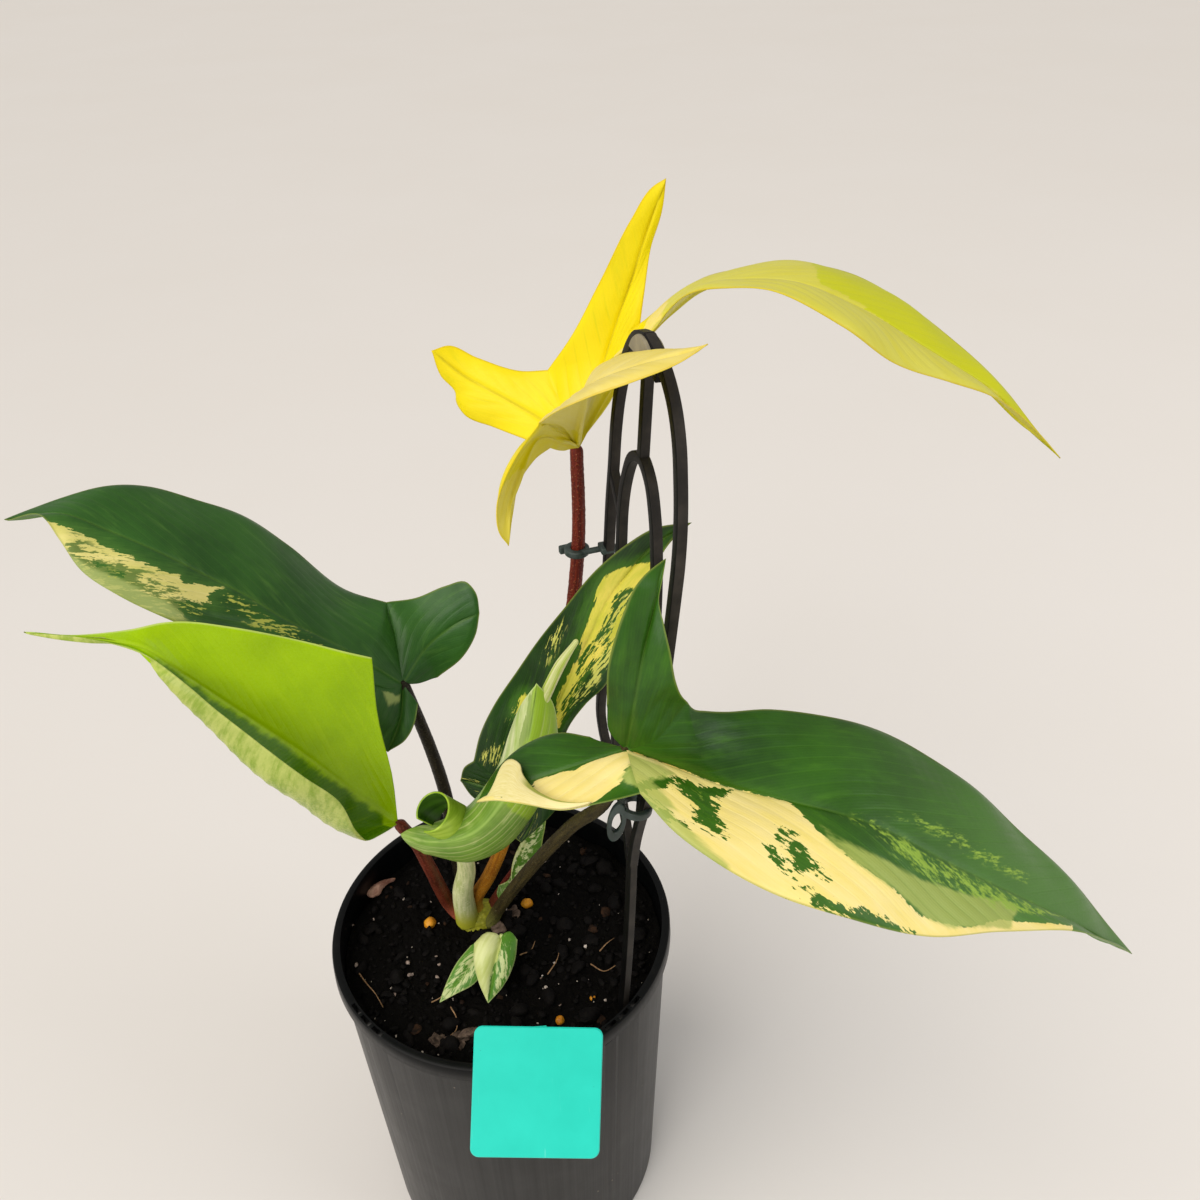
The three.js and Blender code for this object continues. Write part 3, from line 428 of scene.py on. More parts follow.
# Variegation, as outlines in a lobe's own plane. Each has the lobe's number, its kind, and places in
# millimetres across from the midrib (its left side is negative) and along it. Cream is cream tissue,
# an island is green inside it, speckle is green with cream flecks, and haze is half-toned tissue,
# except on the front leaf and in the right leaf's near lobe, where haze is painted shade.
TOP_MARKS = [
    (3, "cream", [(-60, 14), (-60, 100), (60, 100), (60, 14)]),
    (4, "cream", [(-60, 46), (-60, 80), (60, 80), (60, 46)]),
    (2, "cream", [(-60, 34), (-60, 76), (-3, 92), (0, 120), (0, 200), (60, 200), (60, 34)]),
    (2, "haze", [(-60, 44), (-60, 200), (60, 200), (60, 52), (6, 44)]),
]
LEFT_MARKS = [
    (1, "cream", [
        (-5, 126), (-5.3, 116), (-6, 109.5), (-6.3, 103.5), (-6.5, 97), (-6.7, 90), (-5, 85.5),
        (-6.7, 83.5), (-4, 77.5), (-1.8, 72), (-5, 74), (-7.3, 74.5), (-9, 72.5), (-10.3, 75.5),
        (-11.3, 78), (-13.3, 81), (-15, 83), (-16.5, 79), (-18, 77), (-18.5, 74), (-30, 74), (-30, 126)
    ]),
    (1, "island", [(-12.6, 108), (-13.2, 103), (-13.8, 98), (-12.6, 98), (-12, 103), (-11.8, 107)]),
    (1, "island", [(-15, 106), (-15.6, 101), (-14.8, 98), (-14.2, 103)]),
    (1, "haze", [(-11, 118), (-14, 108), (-15.2, 96), (-15.6, 84), (-18, 70), (-40, 70), (-40, 118)]),
    (1, "speckle", [(-5, 118), (-7.4, 108), (-8, 96), (-8.4, 84), (-10, 72), (-30, 74), (-30, 118)]),
    (1, "speckle", [(-1, 72), (-1.5, 58), (-0.6, 45), (-1, 33), (-6, 33), (-8, 45), (-9, 56), (-9, 71)]),
    (0, "haze", [(1.6, 4), (3, 5), (8, 5.6), (12, 8), (7, 10.4), (4, 9), (2, 7)]),
]
# The front leaf's haze covers its rolled left half in dark green: partly its own darker tissue, partly
# painted shade inside the roll.
FRONT_MARKS = [(0, "haze", [(-0.4, 6), (-0.6, 60), (-0.4, 103), (-60, 103), (-60, 6)])]
RIGHT_MARKS = [
    (1, "cream", [
        (0, -2), (-0.5, 10), (0, 20), (0, 30), (0, 42), (1, 47), (5, 52), (8, 57), (10, 60), (12, 64),
        (15, 72), (16, 78), (17, 82), (18, 87), (20, 95), (19, 105), (17.6, 111), (11.6, 120),
        (9.4, 130), (8, 140), (6, 148), (60, 148), (60, -2)
    ]),
    (1, "island", [
        (6, 19.5), (6, 26), (3, 29), (1.6, 31.5), (5, 33), (8, 31.5), (13, 35), (14, 37), (20, 40),
        (23, 43.5), (23, 40), (21.5, 37), (20, 34), (16.5, 33), (14, 29), (12, 26), (10, 22)
    ]),
    (1, "island", [(21, 19), (13, 17.5), (7, 19), (8, 22), (13, 23.5), (19, 22.5)]),
    (1, "island", [(20, 50.5), (20.6, 53), (23.6, 57.5), (25, 59.6), (25.8, 58.6), (24, 55), (21.4, 51.6)]),
    (1, "island", [(26, 61.5), (28, 66), (29, 66), (27.4, 62)]),
    (1, "island", [
        (13, 49.6), (12, 52), (14, 55), (16, 57), (18, 60.5), (20.5, 64), (23, 67.5), (22, 63), (24, 61),
        (22, 58.5), (19, 56), (17, 54.8), (14.6, 54), (14.4, 52), (17, 53.4), (16, 51)
    ]),
    (1, "island", [
        (27.6, 67), (28.3, 70.5), (28.3, 75), (26.6, 79), (25.6, 83.5), (25.6, 88), (25, 96), (27.6, 91),
        (31, 84), (31.4, 79), (31, 74), (31, 69), (29.4, 66)
    ]),
    (1, "island", [(33, 60.5), (33.4, 64.5), (34.6, 69), (36, 68), (35, 64), (34, 61)]),
    (1, "island", [(20.6, 21), (21, 26), (22.6, 30), (24.6, 35), (24.8, 32), (23.4, 27), (22.4, 22)]),
    (1, "haze", [
        (3, -4), (3.4, 10), (5.4, 19), (14, 20), (16, 24), (19, 28.5), (22.5, 33), (26, 38),
        (29, 43), (31, 48), (44, 49), (40, 18), (20, -4)
    ]),
    (1, "haze", [
        (7, 57), (9, 64), (9.6, 70), (9.8, 76), (10, 82), (9.6, 90), (8, 100), (6, 112), (4, 124),
        (14, 126), (17, 112), (20, 104), (20, 95), (17, 84), (15, 72), (11, 61)
    ]),
    (1, "speckle", [
        (0.5, 60), (-1.5, 68), (0, 80), (0.5, 100), (0.5, 125), (0, 148), (6, 138), (8, 124), (9, 108),
        (9, 92), (8, 80), (3, 70)
    ]),
    (1, "speckle", [
        (-4, 74), (-6, 84), (-5, 96), (-4.6, 110), (-5, 128), (-8, 130), (-10, 112), (-10, 98), (-9, 84)
    ]),
    (1, "speckle", [(5, 16), (2, 30), (5, 35), (12, 39), (22, 46), (27, 40), (25, 30), (22, 17), (14, 15)]),
    (1, "speckle", [(11, 47), (11, 57), (24, 70), (30, 66), (25, 56), (19, 48)]),
    (1, "speckle", [(25, 66), (25, 98), (34, 86), (36, 60), (30, 60)]),
    (2, "cream", [
        (-2, -1), (-1.5, 5), (-1, 8), (-1.2, 11), (-2.5, 14.5), (-3, 17.5), (-1.5, 19), (-1, 21),
        (-0.8, 22.5), (-0.5, 25.5), (-1.5, 27.5), (-5, 30), (-9, 33), (-9, 38), (-4, 41), (0, 43),
        (0, 46.5), (-0.6, 54), (-30, 54),
        (-30, 26), (-19.5, 25), (-17.5, 18.5), (-16, 15), (-14.5, 13.5), (-12, 10), (-9, 4), (-6, -1)
    ]),
    # The near lobe's haze is painted shade: the olive band beside its curled end.
    (2, "haze", [(-3, -4), (-7, 3), (-9.6, 8), (-13, 12.4), (-15.4, 15.6), (-19, 16), (-30, 15), (-30, -4)]),
]
BACK_MARKS = [
    (1, "cream", [
        (6, 131), (2.5, 124), (-1.5, 119), (-4, 115), (-5, 110.5), (-4.5, 106), (-3, 100), (-2.5, 94),
        (-2.5, 87.5), (-1, 78), (-1, 69), (-0.8, 61), (-1, 54), (1, 49), (2.5, 44), (4, 38), (7, 38),
        (4.5, 46), (3.5, 53), (2.5, 62), (3.5, 70), (5, 77), (7, 86), (8.6, 94), (12, 100), (12, 110),
        (9, 121), (3, 132)
    ]),
    (1, "island", [
        (4.5, 113.5), (2, 110.5), (1.3, 108), (2.3, 103.5), (2.7, 99.5), (2.4, 94), (2, 90), (1.5, 86),
        (4, 86), (5.5, 88.5), (5, 93), (5.5, 98), (5, 103), (5.5, 107), (6.5, 111)
    ]),
    (1, "island", [(1, 84), (0.4, 78), (1.4, 70), (2.2, 70), (2, 78), (2.6, 84)]),
    (1, "island", [(1.6, 60), (1, 54), (3, 48), (4, 48), (2.8, 55)]),
    (1, "cream", [(-12.3, 54.5), (-13.3, 52), (-12.6, 45), (-11, 45.5), (-11.3, 50), (-10.8, 52)]),
    (1, "speckle", [(-12.6, 84), (-13, 76), (-11.6, 68), (-9.6, 68), (-8, 76), (-8.4, 86), (-9.6, 92)]),
    (1, "speckle", [(-14.6, 47), (-14, 38), (-12, 38), (-12, 47)]),
    (1, "speckle", [(-20, 31), (-20, 19), (-11, 19), (-12, 31)]),
    (1, "speckle", [(5, 42), (9, 60), (11, 80), (15, 100), (13, 116), (2, 116), (1, 84), (2, 60)]),
    (1, "speckle", [(-9, 33), (-6, 16), (-4, 2), (-6, 2), (-9, 16), (-11, 33)]),
    (0, "speckle", [(-6, 2), (-3, 2), (-3, 24), (-6, 24)]),
    (0, "speckle", [(1, 2), (4, 2), (4, 24), (1, 24)]),
    (2, "speckle", [(-5, 2), (-2, 2), (-2, 24), (-5, 24)]),
    (2, "speckle", [(2, 2), (5, 2), (5, 24), (2, 24)]),
]
NEW_MARKS = [
    (0, "cream", [(-40, 36), (-40, 110), (-1, 110), (-1.5, 80), (-3.5, 60), (-8, 44)]),
    (0, "haze", [(-1, 110), (-0.5, 80), (-1, 66), (0, 46), (30, 44), (30, 110)]),
]
BRACT_MARKS = [
    (0, "cream", [
        (-2.2, 4), (-2.4, 20), (-1.6, 34), (-2.6, 46), (-1, 56), (1, 50), (0, 36), (-0.4, 20), (0, 8)
    ]),
    (0, "speckle", [(0, 4), (-1, 30), (0, 58), (4, 58), (5, 4)]),
]
SHOOT_LEFT_MARKS = [(0, "speckle", [(-5, 2), (-5, 30), (4, 30), (4, 2)])]
SHOOT_RIGHT_MARKS = [
    (0, "cream", [(12, -2), (12, 25), (0.3, 25), (0.4, 12), (-1, 5), (-1.4, -2)]),
    (0, "speckle", [(-0.6, 3), (-0.6, 24), (-6, 24), (-6, 3)]),
]


def distances(points):
    """How far along a line of points each of them is."""
    reach = [0.0]
    for a, b in zip(points, points[1:]):
        reach.append(reach[-1] + (b - a).length)
    return reach


class Curve:
    """A smooth curve through given points, read by the share of its length."""

    def __init__(self, points):
        self.points = [Vector(p) for p in points]
        self.reach = distances(self.points)
        self.length = self.reach[-1]
        self.slopes = [self.slope(k) for k in range(len(self.points))]

    def slope(self, k):
        """The curve's direction at a point, from the lines before and after it."""
        points, reach = self.points, self.reach
        if k == 0:
            return (points[1] - points[0]) / reach[1]
        before = reach[k] - reach[k - 1]
        arriving = (points[k] - points[k - 1]) / before
        if k == len(points) - 1:
            return arriving
        after = reach[k + 1] - reach[k]
        leaving = (points[k + 1] - points[k]) / after
        return (arriving * after + leaving * before) / (before + after)

    def at(self, share):
        wanted = min(max(share, 0.0), 1.0) * self.length
        k = 0
        while k < len(self.points) - 2 and self.reach[k + 1] <= wanted:
            k += 1
        span = self.reach[k + 1] - self.reach[k]
        u = (wanted - self.reach[k]) / span
        start = self.points[k] * (2 * u**3 - 3 * u**2 + 1)
        end = self.points[k + 1] * (3 * u**2 - 2 * u**3)
        leave = self.slopes[k] * (span * (u**3 - 2 * u**2 + u))
        arrive = self.slopes[k + 1] * (span * (u**3 - u**2))
        return start + end + leave + arrive

    def forward(self, share, step=0.01):
        """The unit direction at a share of the length."""
        return (self.at(share + step) - self.at(share - step)).normalized()


class Route(Curve):
    """A stalk's route: a centripetal Catmull-Rom curve, read by the share of its length."""

    SAMPLES = 200

    def __init__(self, points):
        self.points = [Vector(p) for p in points]
        self.reach = distances([self.raw(k / self.SAMPLES) for k in range(self.SAMPLES + 1)])
        self.length = self.reach[-1]

    def raw(self, t):
        """A place on the curve, from a share of its points."""
        points = self.points
        place = min(max(t, 0.0), 1.0) * (len(points) - 1)
        k = min(int(place), len(points) - 2)
        u = place - k
        p1, p2 = points[k], points[k + 1]
        p0 = points[k - 1] if k > 0 else p1 * 2 - p2
        p3 = points[k + 2] if k + 2 < len(points) else p2 * 2 - p1
        d0, d1, d2 = (math.sqrt((b - a).length) for a, b in ((p0, p1), (p1, p2), (p2, p3)))
        leave = ((p1 - p0) / d0 - (p2 - p0) / (d0 + d1) + (p2 - p1) / d1) * d1
        arrive = ((p2 - p1) / d1 - (p3 - p1) / (d1 + d2) + (p3 - p2) / d2) * d1
        bend = (p2 - p1) * 3 - leave * 2 - arrive
        close = (p1 - p2) * 2 + leave + arrive
        return p1 + leave * u + bend * u**2 + close * u**3

    def at(self, share):
        wanted = min(max(share, 0.0), 1.0) * self.length
        k = int(np.searchsorted(self.reach, wanted, side="right")) - 1
        k = min(max(k, 0), self.SAMPLES - 1)
        span = self.reach[k + 1] - self.reach[k]
        return self.raw((k + (wanted - self.reach[k]) / span) / self.SAMPLES)


def smooth(x, low, high):
    """0 below low, 1 above high, and a soft step between them. It takes arrays."""
    t = np.clip((np.asarray(x, float) - low) / (high - low), 0, 1)
    return t * t * (3 - 2 * t)


def deselect():
    for other in bpy.context.selected_objects:
        other.select_set(False)


def only(piece):
    """Selects one object alone and makes it the active one."""
    deselect()
    piece.select_set(True)
    bpy.context.view_layer.objects.active = piece
    return piece


def mesh_object(name, points, faces, edges=()):
    """A new object from points in millimetres."""
    mesh = bpy.data.meshes.new(name)
    mesh.from_pydata([tuple(MM * c for c in p) for p in points], edges, faces)
    mesh.update()
    piece = bpy.data.objects.new(name, mesh)
    bpy.context.scene.collection.objects.link(piece)
    return piece


def settle(piece):
    """Puts the object's place into its mesh, so that the object sits at the origin."""
    only(piece)
    bpy.ops.object.transform_apply(location=True, rotation=True, scale=True)
    return piece


def turn_outward(piece):
    """Makes all the faces of a closed piece look outward."""
    only(piece)
    bpy.ops.object.mode_set(mode="EDIT")
    bpy.ops.mesh.select_all(action="SELECT")
    bpy.ops.mesh.normals_make_consistent(inside=False)
    bpy.ops.object.mode_set(mode="OBJECT")
    return piece


def write_uvs(piece, name, values):
    """A new UV map from two numbers for each face corner, in millimetres. The map holds centimetres."""
    layer = piece.data.uv_layers.new(name=name)
    layer.data.foreach_set("uv", (np.asarray(values, float) * 0.1).astype(np.float32).ravel())


def ring_faces(rows, count, closed=False):
    """The quads between rings of count points each. A closed stack's last ring joins its first."""
    faces = []
    for i in range(rows if closed else rows - 1):
        ahead = ((i + 1) % rows - i) * count
        for k in range(count):
            a, b = i * count + k, i * count + (k + 1) % count
            faces.append([a, b, b + ahead, a + ahead])
    return faces


def end_faces(rows, count):
    """The two faces that close a stack of rings."""
    return [list(range(count))[::-1], [(rows - 1) * count + k for k in range(count)]]


def rounded_rectangle(width, height, radius, points=4):
    """The outline of a rectangle that is rounded at each corner, in a few points."""
    outline = []
    for x, y, start in ((1, 1, 0), (-1, 1, 90), (-1, -1, 180), (1, -1, 270)):
        for k in range(points):
            angle = math.radians(start + 90 * k / (points - 1))
            across, up = x * (width / 2 - radius), y * (height / 2 - radius)
            outline.append((across + radius * math.cos(angle), up + radius * math.sin(angle)))
    return outline


def finish_piece(piece, materials, slot, *nodes, smooth_angle=180):
    """Any materials still to be added, smooth shading, and the piece's place in the frame."""
    for material in materials:
        piece.data.materials.append(material)
    only(piece)
    bpy.ops.object.shade_smooth_by_angle(angle=math.radians(smooth_angle))
    if nodes:
        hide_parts(*nodes)
    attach(piece, "root")
    return piece


def join(pieces, name):
    """Several objects as one."""
    deselect()
    for piece in pieces:
        piece.select_set(True)
    bpy.context.view_layer.objects.active = pieces[0]
    bpy.ops.object.join()
    pieces[0].name = name
    pieces[0].data.name = name
    return pieces[0]


def apply_modifier(piece, kind, **settings):
    """Adds a modifier and applies it at once."""
    only(piece)
    modifier = piece.modifiers.new(kind.title(), kind)
    for key, value in settings.items():
        setattr(modifier, key, value)
    bpy.ops.object.modifier_apply(modifier=modifier.name)
    return piece


def outline_distance(points, outline):
    """Signed distance from points to a closed outline, positive inside. All in millimetres."""
    points = np.asarray(points, float)
    outline = np.asarray(outline, float)
    nearest = np.full(len(points), 1e9)
    inside = np.zeros(len(points), bool)
    for a, b in zip(outline, np.roll(outline, -1, axis=0)):
        edge = b - a
        t = np.clip(((points - a) @ edge) / max(edge @ edge, 1e-9), 0, 1)
        nearest = np.minimum(nearest, np.linalg.norm(points - a - t[:, None] * edge, axis=1))
        crosses = (a[1] > points[:, 1]) != (b[1] > points[:, 1])
        with np.errstate(divide="ignore", invalid="ignore"):
            reach = a[0] + (points[:, 1] - a[1]) * edge[0] / edge[1]
        inside ^= crosses & (points[:, 0] < reach)
    return np.where(inside, nearest, -nearest)


# Columns of points stand closer together at the midrib, by this power of their share of the width
CLOSER_AT_MIDRIB = 1.25


# A lobe has at least this many rows of points beyond its folds
FEWEST_ROWS = 12


def lobe_grid(leaf, index, fine):
    """One lobe as rows of points from its left margin over the midrib to its right margin.

    With each point come its distance across from the midrib, its distance along it, and its
    distance to the margin, in millimetres.
    """
    fold_rows, across, pitch = fine
    lobe = leaf["lobes"][index]
    hub, tip = Vector(leaf["hub"]), Vector(lobe["tip"])
    vein = Curve([hub, *lobe["vein"], tip])
    folds = leaf["folds"][index : index + 2]
    margins = [Curve([fold[-1], *lobe[side], tip]) for fold, side in zip(folds, ("left", "right"))]
    folds = [Curve([hub, *fold]) for fold in folds]
    rows = fold_rows + max(FEWEST_ROWS, round((tip - hub).length / pitch))
    grid, place = [], []
    for i in range(rows + 1):
        in_fold = i <= fold_rows
        share = i / fold_rows if in_fold else (i - fold_rows) / (rows - fold_rows)
        reach = lobe["root"] * share if in_fold else lobe["root"] + (1 - lobe["root"]) * share
        middle, forward = vein.at(reach), vein.forward(reach, 0.02)
        row, marks = [], []
        for j in range(-across, across + 1):
            side = 0 if j < 0 else 1
            w = (abs(j) / across) ** CLOSER_AT_MIDRIB
            edge = (folds if in_fold else margins)[side].at(share)
            chord = edge - middle
            up = (chord if side else -chord).cross(forward)
            if up.length > 1e-6:
                up.normalize()
            row.append(middle + chord * w + up * (leaf["sag"][side] * chord.length * 2 * w * (1 - w)))
            from_edge = (1 - w) * chord.length
            if in_fold:
                from_edge += (1 - share) * folds[side].length
            from_edge = min(from_edge, (1 - reach) * vein.length)
            marks.append((w * chord.length * (1 if side else -1), reach * vein.length, from_edge))
        grid.append(row)
        place.append(marks)
    return grid, place


def lobe_place(leaf, index, across, along):
    """A point on a lobe by its distances across and along the midrib, and the blade's normal there."""
    lobe = leaf["lobes"][index]
    tip = Vector(lobe["tip"])
    vein = Curve([leaf["hub"], *lobe["vein"], tip])
    side = 0 if across < 0 else 1
    fold = leaf["folds"][index + side]
    reach = along / vein.length
    if reach < lobe["root"]:
        edge = Curve([leaf["hub"], *fold]).at(reach / lobe["root"])
    else:
        margin = Curve([fold[-1], *lobe[("left", "right")[side]], tip])
        edge = margin.at((reach - lobe["root"]) / (1 - lobe["root"]))
    middle = vein.at(reach)
    chord = edge - middle
    w = min(1.0, abs(across) / max(chord.length, 1e-6))
    up = (chord if side else -chord).cross(vein.forward(reach, 0.02)).normalized()
    return middle + chord * w + up * (leaf["sag"][side] * chord.length * 2 * w * (1 - w)), up


# How far the hub counts as being from the margin, in millimetres
HUB_TO_MARGIN = 9.0


def blade_sheet(leaf, fine):
    """The blade as one sheet: its points, its faces, and each face corner's lobe and place."""
    points, spots = [Vector(leaf["hub"])], [(0.0, 0.0, HUB_TO_MARGIN)]
    faces, corners, shared = [], [], []
    for index in range(len(leaf["lobes"])):
        grid, place = lobe_grid(leaf, index, fine)
        last, right = len(grid) - 1, len(grid[0]) - 1
        points.append(grid[last][0])
        spots.append(place[last][0])
        tip = len(points) - 1
        ids = []
        for i, row in enumerate(grid):
            if i in (0, last):
                ids.append([0 if i == 0 else tip] * (right + 1))
                continue
            line = []
            for j, point in enumerate(row):
                if index > 0 and j == 0 and i <= fine[0]:
                    line.append(shared[i])
                    continue
                points.append(point)
                spots.append(place[i][j])
                line.append(len(points) - 1)
            ids.append(line)
        shared = [line[right] for line in ids]
        for i in range(last):
            for j in range(right):
                ring = [(i, j), (i, j + 1), (i + 1, j + 1), (i + 1, j)]
                kept = []
                for a, b in ring:
                    if not kept or ids[a][b] != ids[kept[-1][0]][kept[-1][1]]:
                        kept.append((a, b))
                if ids[kept[0][0]][kept[0][1]] == ids[kept[-1][0]][kept[-1][1]]:
                    kept.pop()
                if len(kept) > 2:
                    faces.append([ids[a][b] for a, b in kept])
                    corners.append([(index, *place[a][b]) for a, b in kept])
    return points, spots, faces, corners


def unit_rows(rows):
    return rows / np.maximum(np.linalg.norm(rows, axis=1), 1e-9)[:, None]


def sheet_normals(points, faces):
    """The sheet's normal at each point, from the faces round it."""
    normals = np.zeros_like(points)
    for face in faces:
        a, b, c = points[face[0]], points[face[1]], points[face[-1]]
        normals[face] += np.cross(b - a, c - a)
    return unit_rows(normals)


# How much the side veins bow towards the tip, and the length and phases of a margin's waves, in mm
VEIN_BOW = 0.006
WAVE_LENGTH = 37
WAVE_PHASES = (0.8, 2.3)


def vein_lines(across, along, turn):
    """Where a place lies among the side veins, which leave the midrib at a slant, and along one."""
    slant, side = math.radians(turn), np.abs(across)
    lines = along * math.cos(slant) - side * math.sin(slant) - VEIN_BOW * side**2
    return lines, along * math.sin(slant) + side * math.cos(slant)


# A blade's relief in millimetres: half the midrib's width at its tip and what its foot adds to it,
# its groove above and rib below, and half a side vein's width, its groove and its rib
MIDRIB_WIDTH = (0.3, 0.7)
MIDRIB_GROOVE = 0.35
MIDRIB_RIB = 0.9
SIDE_VEIN_WIDTH = 0.7
SIDE_VEIN_GROOVE = 0.08
SIDE_VEIN_RIB = 0.14


def blade_relief(spots, form):
    """How far both faces rise together, and how far each stands out, in millimetres."""
    across, along, edge = np.abs(spots[:, 0]), spots[:, 1], spots[:, 2]
    reach, spacing = form["reach"], form["spacing"]
    width = MIDRIB_WIDTH[0] + MIDRIB_WIDTH[1] * np.clip(1 - along / reach, 0, 1) ** 0.8
    inner = smooth(edge, 0.4, 5)
    middle = np.exp(-((across / width) ** 2))
    lines, _ = vein_lines(across, along, form["turn"])
    beat = np.abs(lines / spacing - np.floor(lines / spacing) - 0.5) * spacing
    lateral = np.exp(-((beat / SIDE_VEIN_WIDTH) ** 2)) * inner * smooth(across, 0.5, 4)
    rise = form["quilt"] * (0.5 - lateral) * inner * smooth(across, 0, 12)
    wave = np.sin(2 * math.pi * along / WAVE_LENGTH + np.where(spots[:, 0] < 0, *WAVE_PHASES))
    rise += form["wave"] * wave * (1 - smooth(edge, 0, 16)) * smooth(edge, -2, 3)
    upper = -MIDRIB_GROOVE * middle * inner - SIDE_VEIN_GROOVE * lateral
    lower = MIDRIB_RIB * width * middle * inner + SIDE_VEIN_RIB * lateral
    return rise, upper, lower


# The distance that stands for a place outside every region, in millimetres
FAR_OUTSIDE = -60.0


def mark_fields(leaf_marks, lobes, places):
    """How far each face corner lies inside the cream, speckled and hazy regions, in millimetres; some hazy
    regions paint shade.
    """
    fields = {kind: np.full(len(lobes), FAR_OUTSIDE) for kind in ("cream", "speckle", "haze")}
    for lobe, kind, outline in leaf_marks:
        here = lobes == lobe
        if not here.any():
            continue
        reach = outline_distance(places[here], outline)
        field = fields["cream" if kind == "island" else kind]
        if kind == "island":
            field[here] = np.minimum(field[here], -reach)
        else:
            field[here] = np.maximum(field[here], reach)
    return fields["cream"], fields["speckle"], fields["haze"]


# How far a blade's edge stands out between its faces, as a share of half its thickness
RIM_ROUNDING = 0.45


def blade_object(name, leaf, fine, form, marks, thickness):
    """A closed blade with a grooved upper face, a ribbed lower one and a thin rounded edge."""
    points, spots, faces, corners = blade_sheet(leaf, fine)
    points = np.array([tuple(p) for p in points])
    spots = np.array(spots)
    normals = sheet_normals(points, faces)
    rise, upper, lower = blade_relief(spots, form)
    half = 0.5 * thickness * (0.5 + 0.5 * smooth(spots[:, 2], 0, 3))
    middle = points + normals * rise[:, None]
    top = middle + normals * (half + upper)[:, None]
    bottom = middle - normals * (half + lower)[:, None]
    used = {}
    for f, face in enumerate(faces):
        for k, a in enumerate(face):
            used[(a, face[(k + 1) % len(face)])] = (f, k)
    border = [(pair, place) for pair, place in used.items() if (pair[1], pair[0]) not in used]
    outward = np.zeros_like(points)
    for (a, b), _ in border:
        side = np.cross(middle[b] - middle[a], normals[a])
        outward[a] += side
        outward[b] += side
    outward = unit_rows(outward)
    brink = {a: k for k, a in enumerate(sorted({a for pair, _ in border for a in pair}))}
    rim = [middle[a] + outward[a] * RIM_ROUNDING * half[a] for a in brink]
    count = len(points)
    all_points = np.vstack([top, bottom, np.array(rim)])
    all_faces = [list(face) for face in faces]
    all_corners = [list(c) for c in corners]
    kinds = [0] * len(faces)
    for face, c in zip(faces, corners):
        all_faces.append([count + a for a in reversed(face)])
        all_corners.append(list(reversed(c)))
        kinds.append(1)
    for (a, b), (f, k) in border:
        at_a, at_b = corners[f][k], corners[f][(k + 1) % len(corners[f])]
        ra, rb = 2 * count + brink[a], 2 * count + brink[b]
        all_faces.append([b, a, ra, rb])
        all_corners.append([at_b, at_a, at_a, at_b])
        all_faces.append([rb, ra, count + a, count + b])
        all_corners.append([at_b, at_a, at_a, at_b])
        kinds += [0, 1]
    piece = mesh_object(name, all_points, all_faces)
    flat = np.array([c for face in all_corners for c in face], float)
    cream, speckle, haze = mark_fields(marks, flat[:, 0].astype(int), flat[:, 1:3])
    turns = np.array([form.get("turns", {}).get(int(k), form["turn"]) for k in flat[:, 0]])
    lines, spread = np.zeros(len(flat)), np.zeros(len(flat))
    for turn in set(turns):
        here = turns == turn
        lines[here], spread[here] = vein_lines(flat[here, 1], flat[here, 2], turn)
    write_uvs(piece, "blade", flat[:, 1:3])
    write_uvs(piece, "marks", np.column_stack([cream, speckle]))
    write_uvs(piece, "edge", np.column_stack([flat[:, 3], haze]))
    write_uvs(piece, "veins", np.column_stack([lines, spread]))
    piece.data.polygons.foreach_set("material_index", kinds)
    return piece


# The ring between a tube's end and the top of its dome: its share of the radius and of the height
DOME_RADIUS = 0.6
DOME_HEIGHT = 0.8


def tube_object(name, route, radius_at, sides, rows, bump=None, domes=(1.0, 1.0)):
    """A round stalk along a route. bump(share, angle) adds to its radius, and its ends are domed."""
    places = [(0.0, DOME_RADIUS, -DOME_HEIGHT * domes[0] * radius_at(0))]
    places += [(k / rows, 1.0, 0.0) for k in range(rows + 1)]
    places += [(1.0, DOME_RADIUS, DOME_HEIGHT * domes[1] * radius_at(1))]
    before = route.forward(0)
    line = before.orthogonal().normalized()
    points, uvs = [], []
    for share, shrink, lift in places:
        forward = route.forward(share)
        line = before.rotation_difference(forward) @ line
        line = (line - forward * line.dot(forward)).normalized()
        before = forward
        other = forward.cross(line)
        centre = route.at(share) + forward * lift
        for k in range(sides):
            angle = 2 * math.pi * k / sides
            r = shrink * (radius_at(share) + (bump(share, angle) if bump else 0))
            points.append(centre + (line * math.cos(angle) + other * math.sin(angle)) * r)
    turn = 2 * math.pi * radius_at(0.5) / sides
    faces = ring_faces(len(places), sides)
    for i in range(len(places) - 1):
        low, high = places[i][0] * route.length, places[i + 1][0] * route.length
        for k in range(sides):
            uvs += [(k * turn, low), ((k + 1) * turn, low), ((k + 1) * turn, high), (k * turn, high)]
    for row, share, way in ((0, 0.0, -1), (len(places) - 1, 1.0, 1)):
        dome = domes[0 if way < 0 else 1]
        points.append(route.at(share) + route.forward(share) * (way * dome * radius_at(share)))
        for k in range(sides):
            a, b = row * sides + k, row * sides + (k + 1) % sides
            faces.append([a, b, len(points) - 1] if way > 0 else [b, a, len(points) - 1])
            uvs += [(0, share * route.length)] * 3
    piece = mesh_object(name, points, faces)
    write_uvs(piece, "stalk", uvs)
    return piece


def hue(code, alpha=1.0):
    """A colour given as #rrggbb, as Blender's linear values."""
    parts = [int(code[k : k + 2], 16) / 255 for k in (1, 3, 5)]
    linear = [c / 12.92 if c <= 0.04045 else ((c + 0.055) / 1.055) ** 2.4 for c in parts]
    return (*linear, alpha)


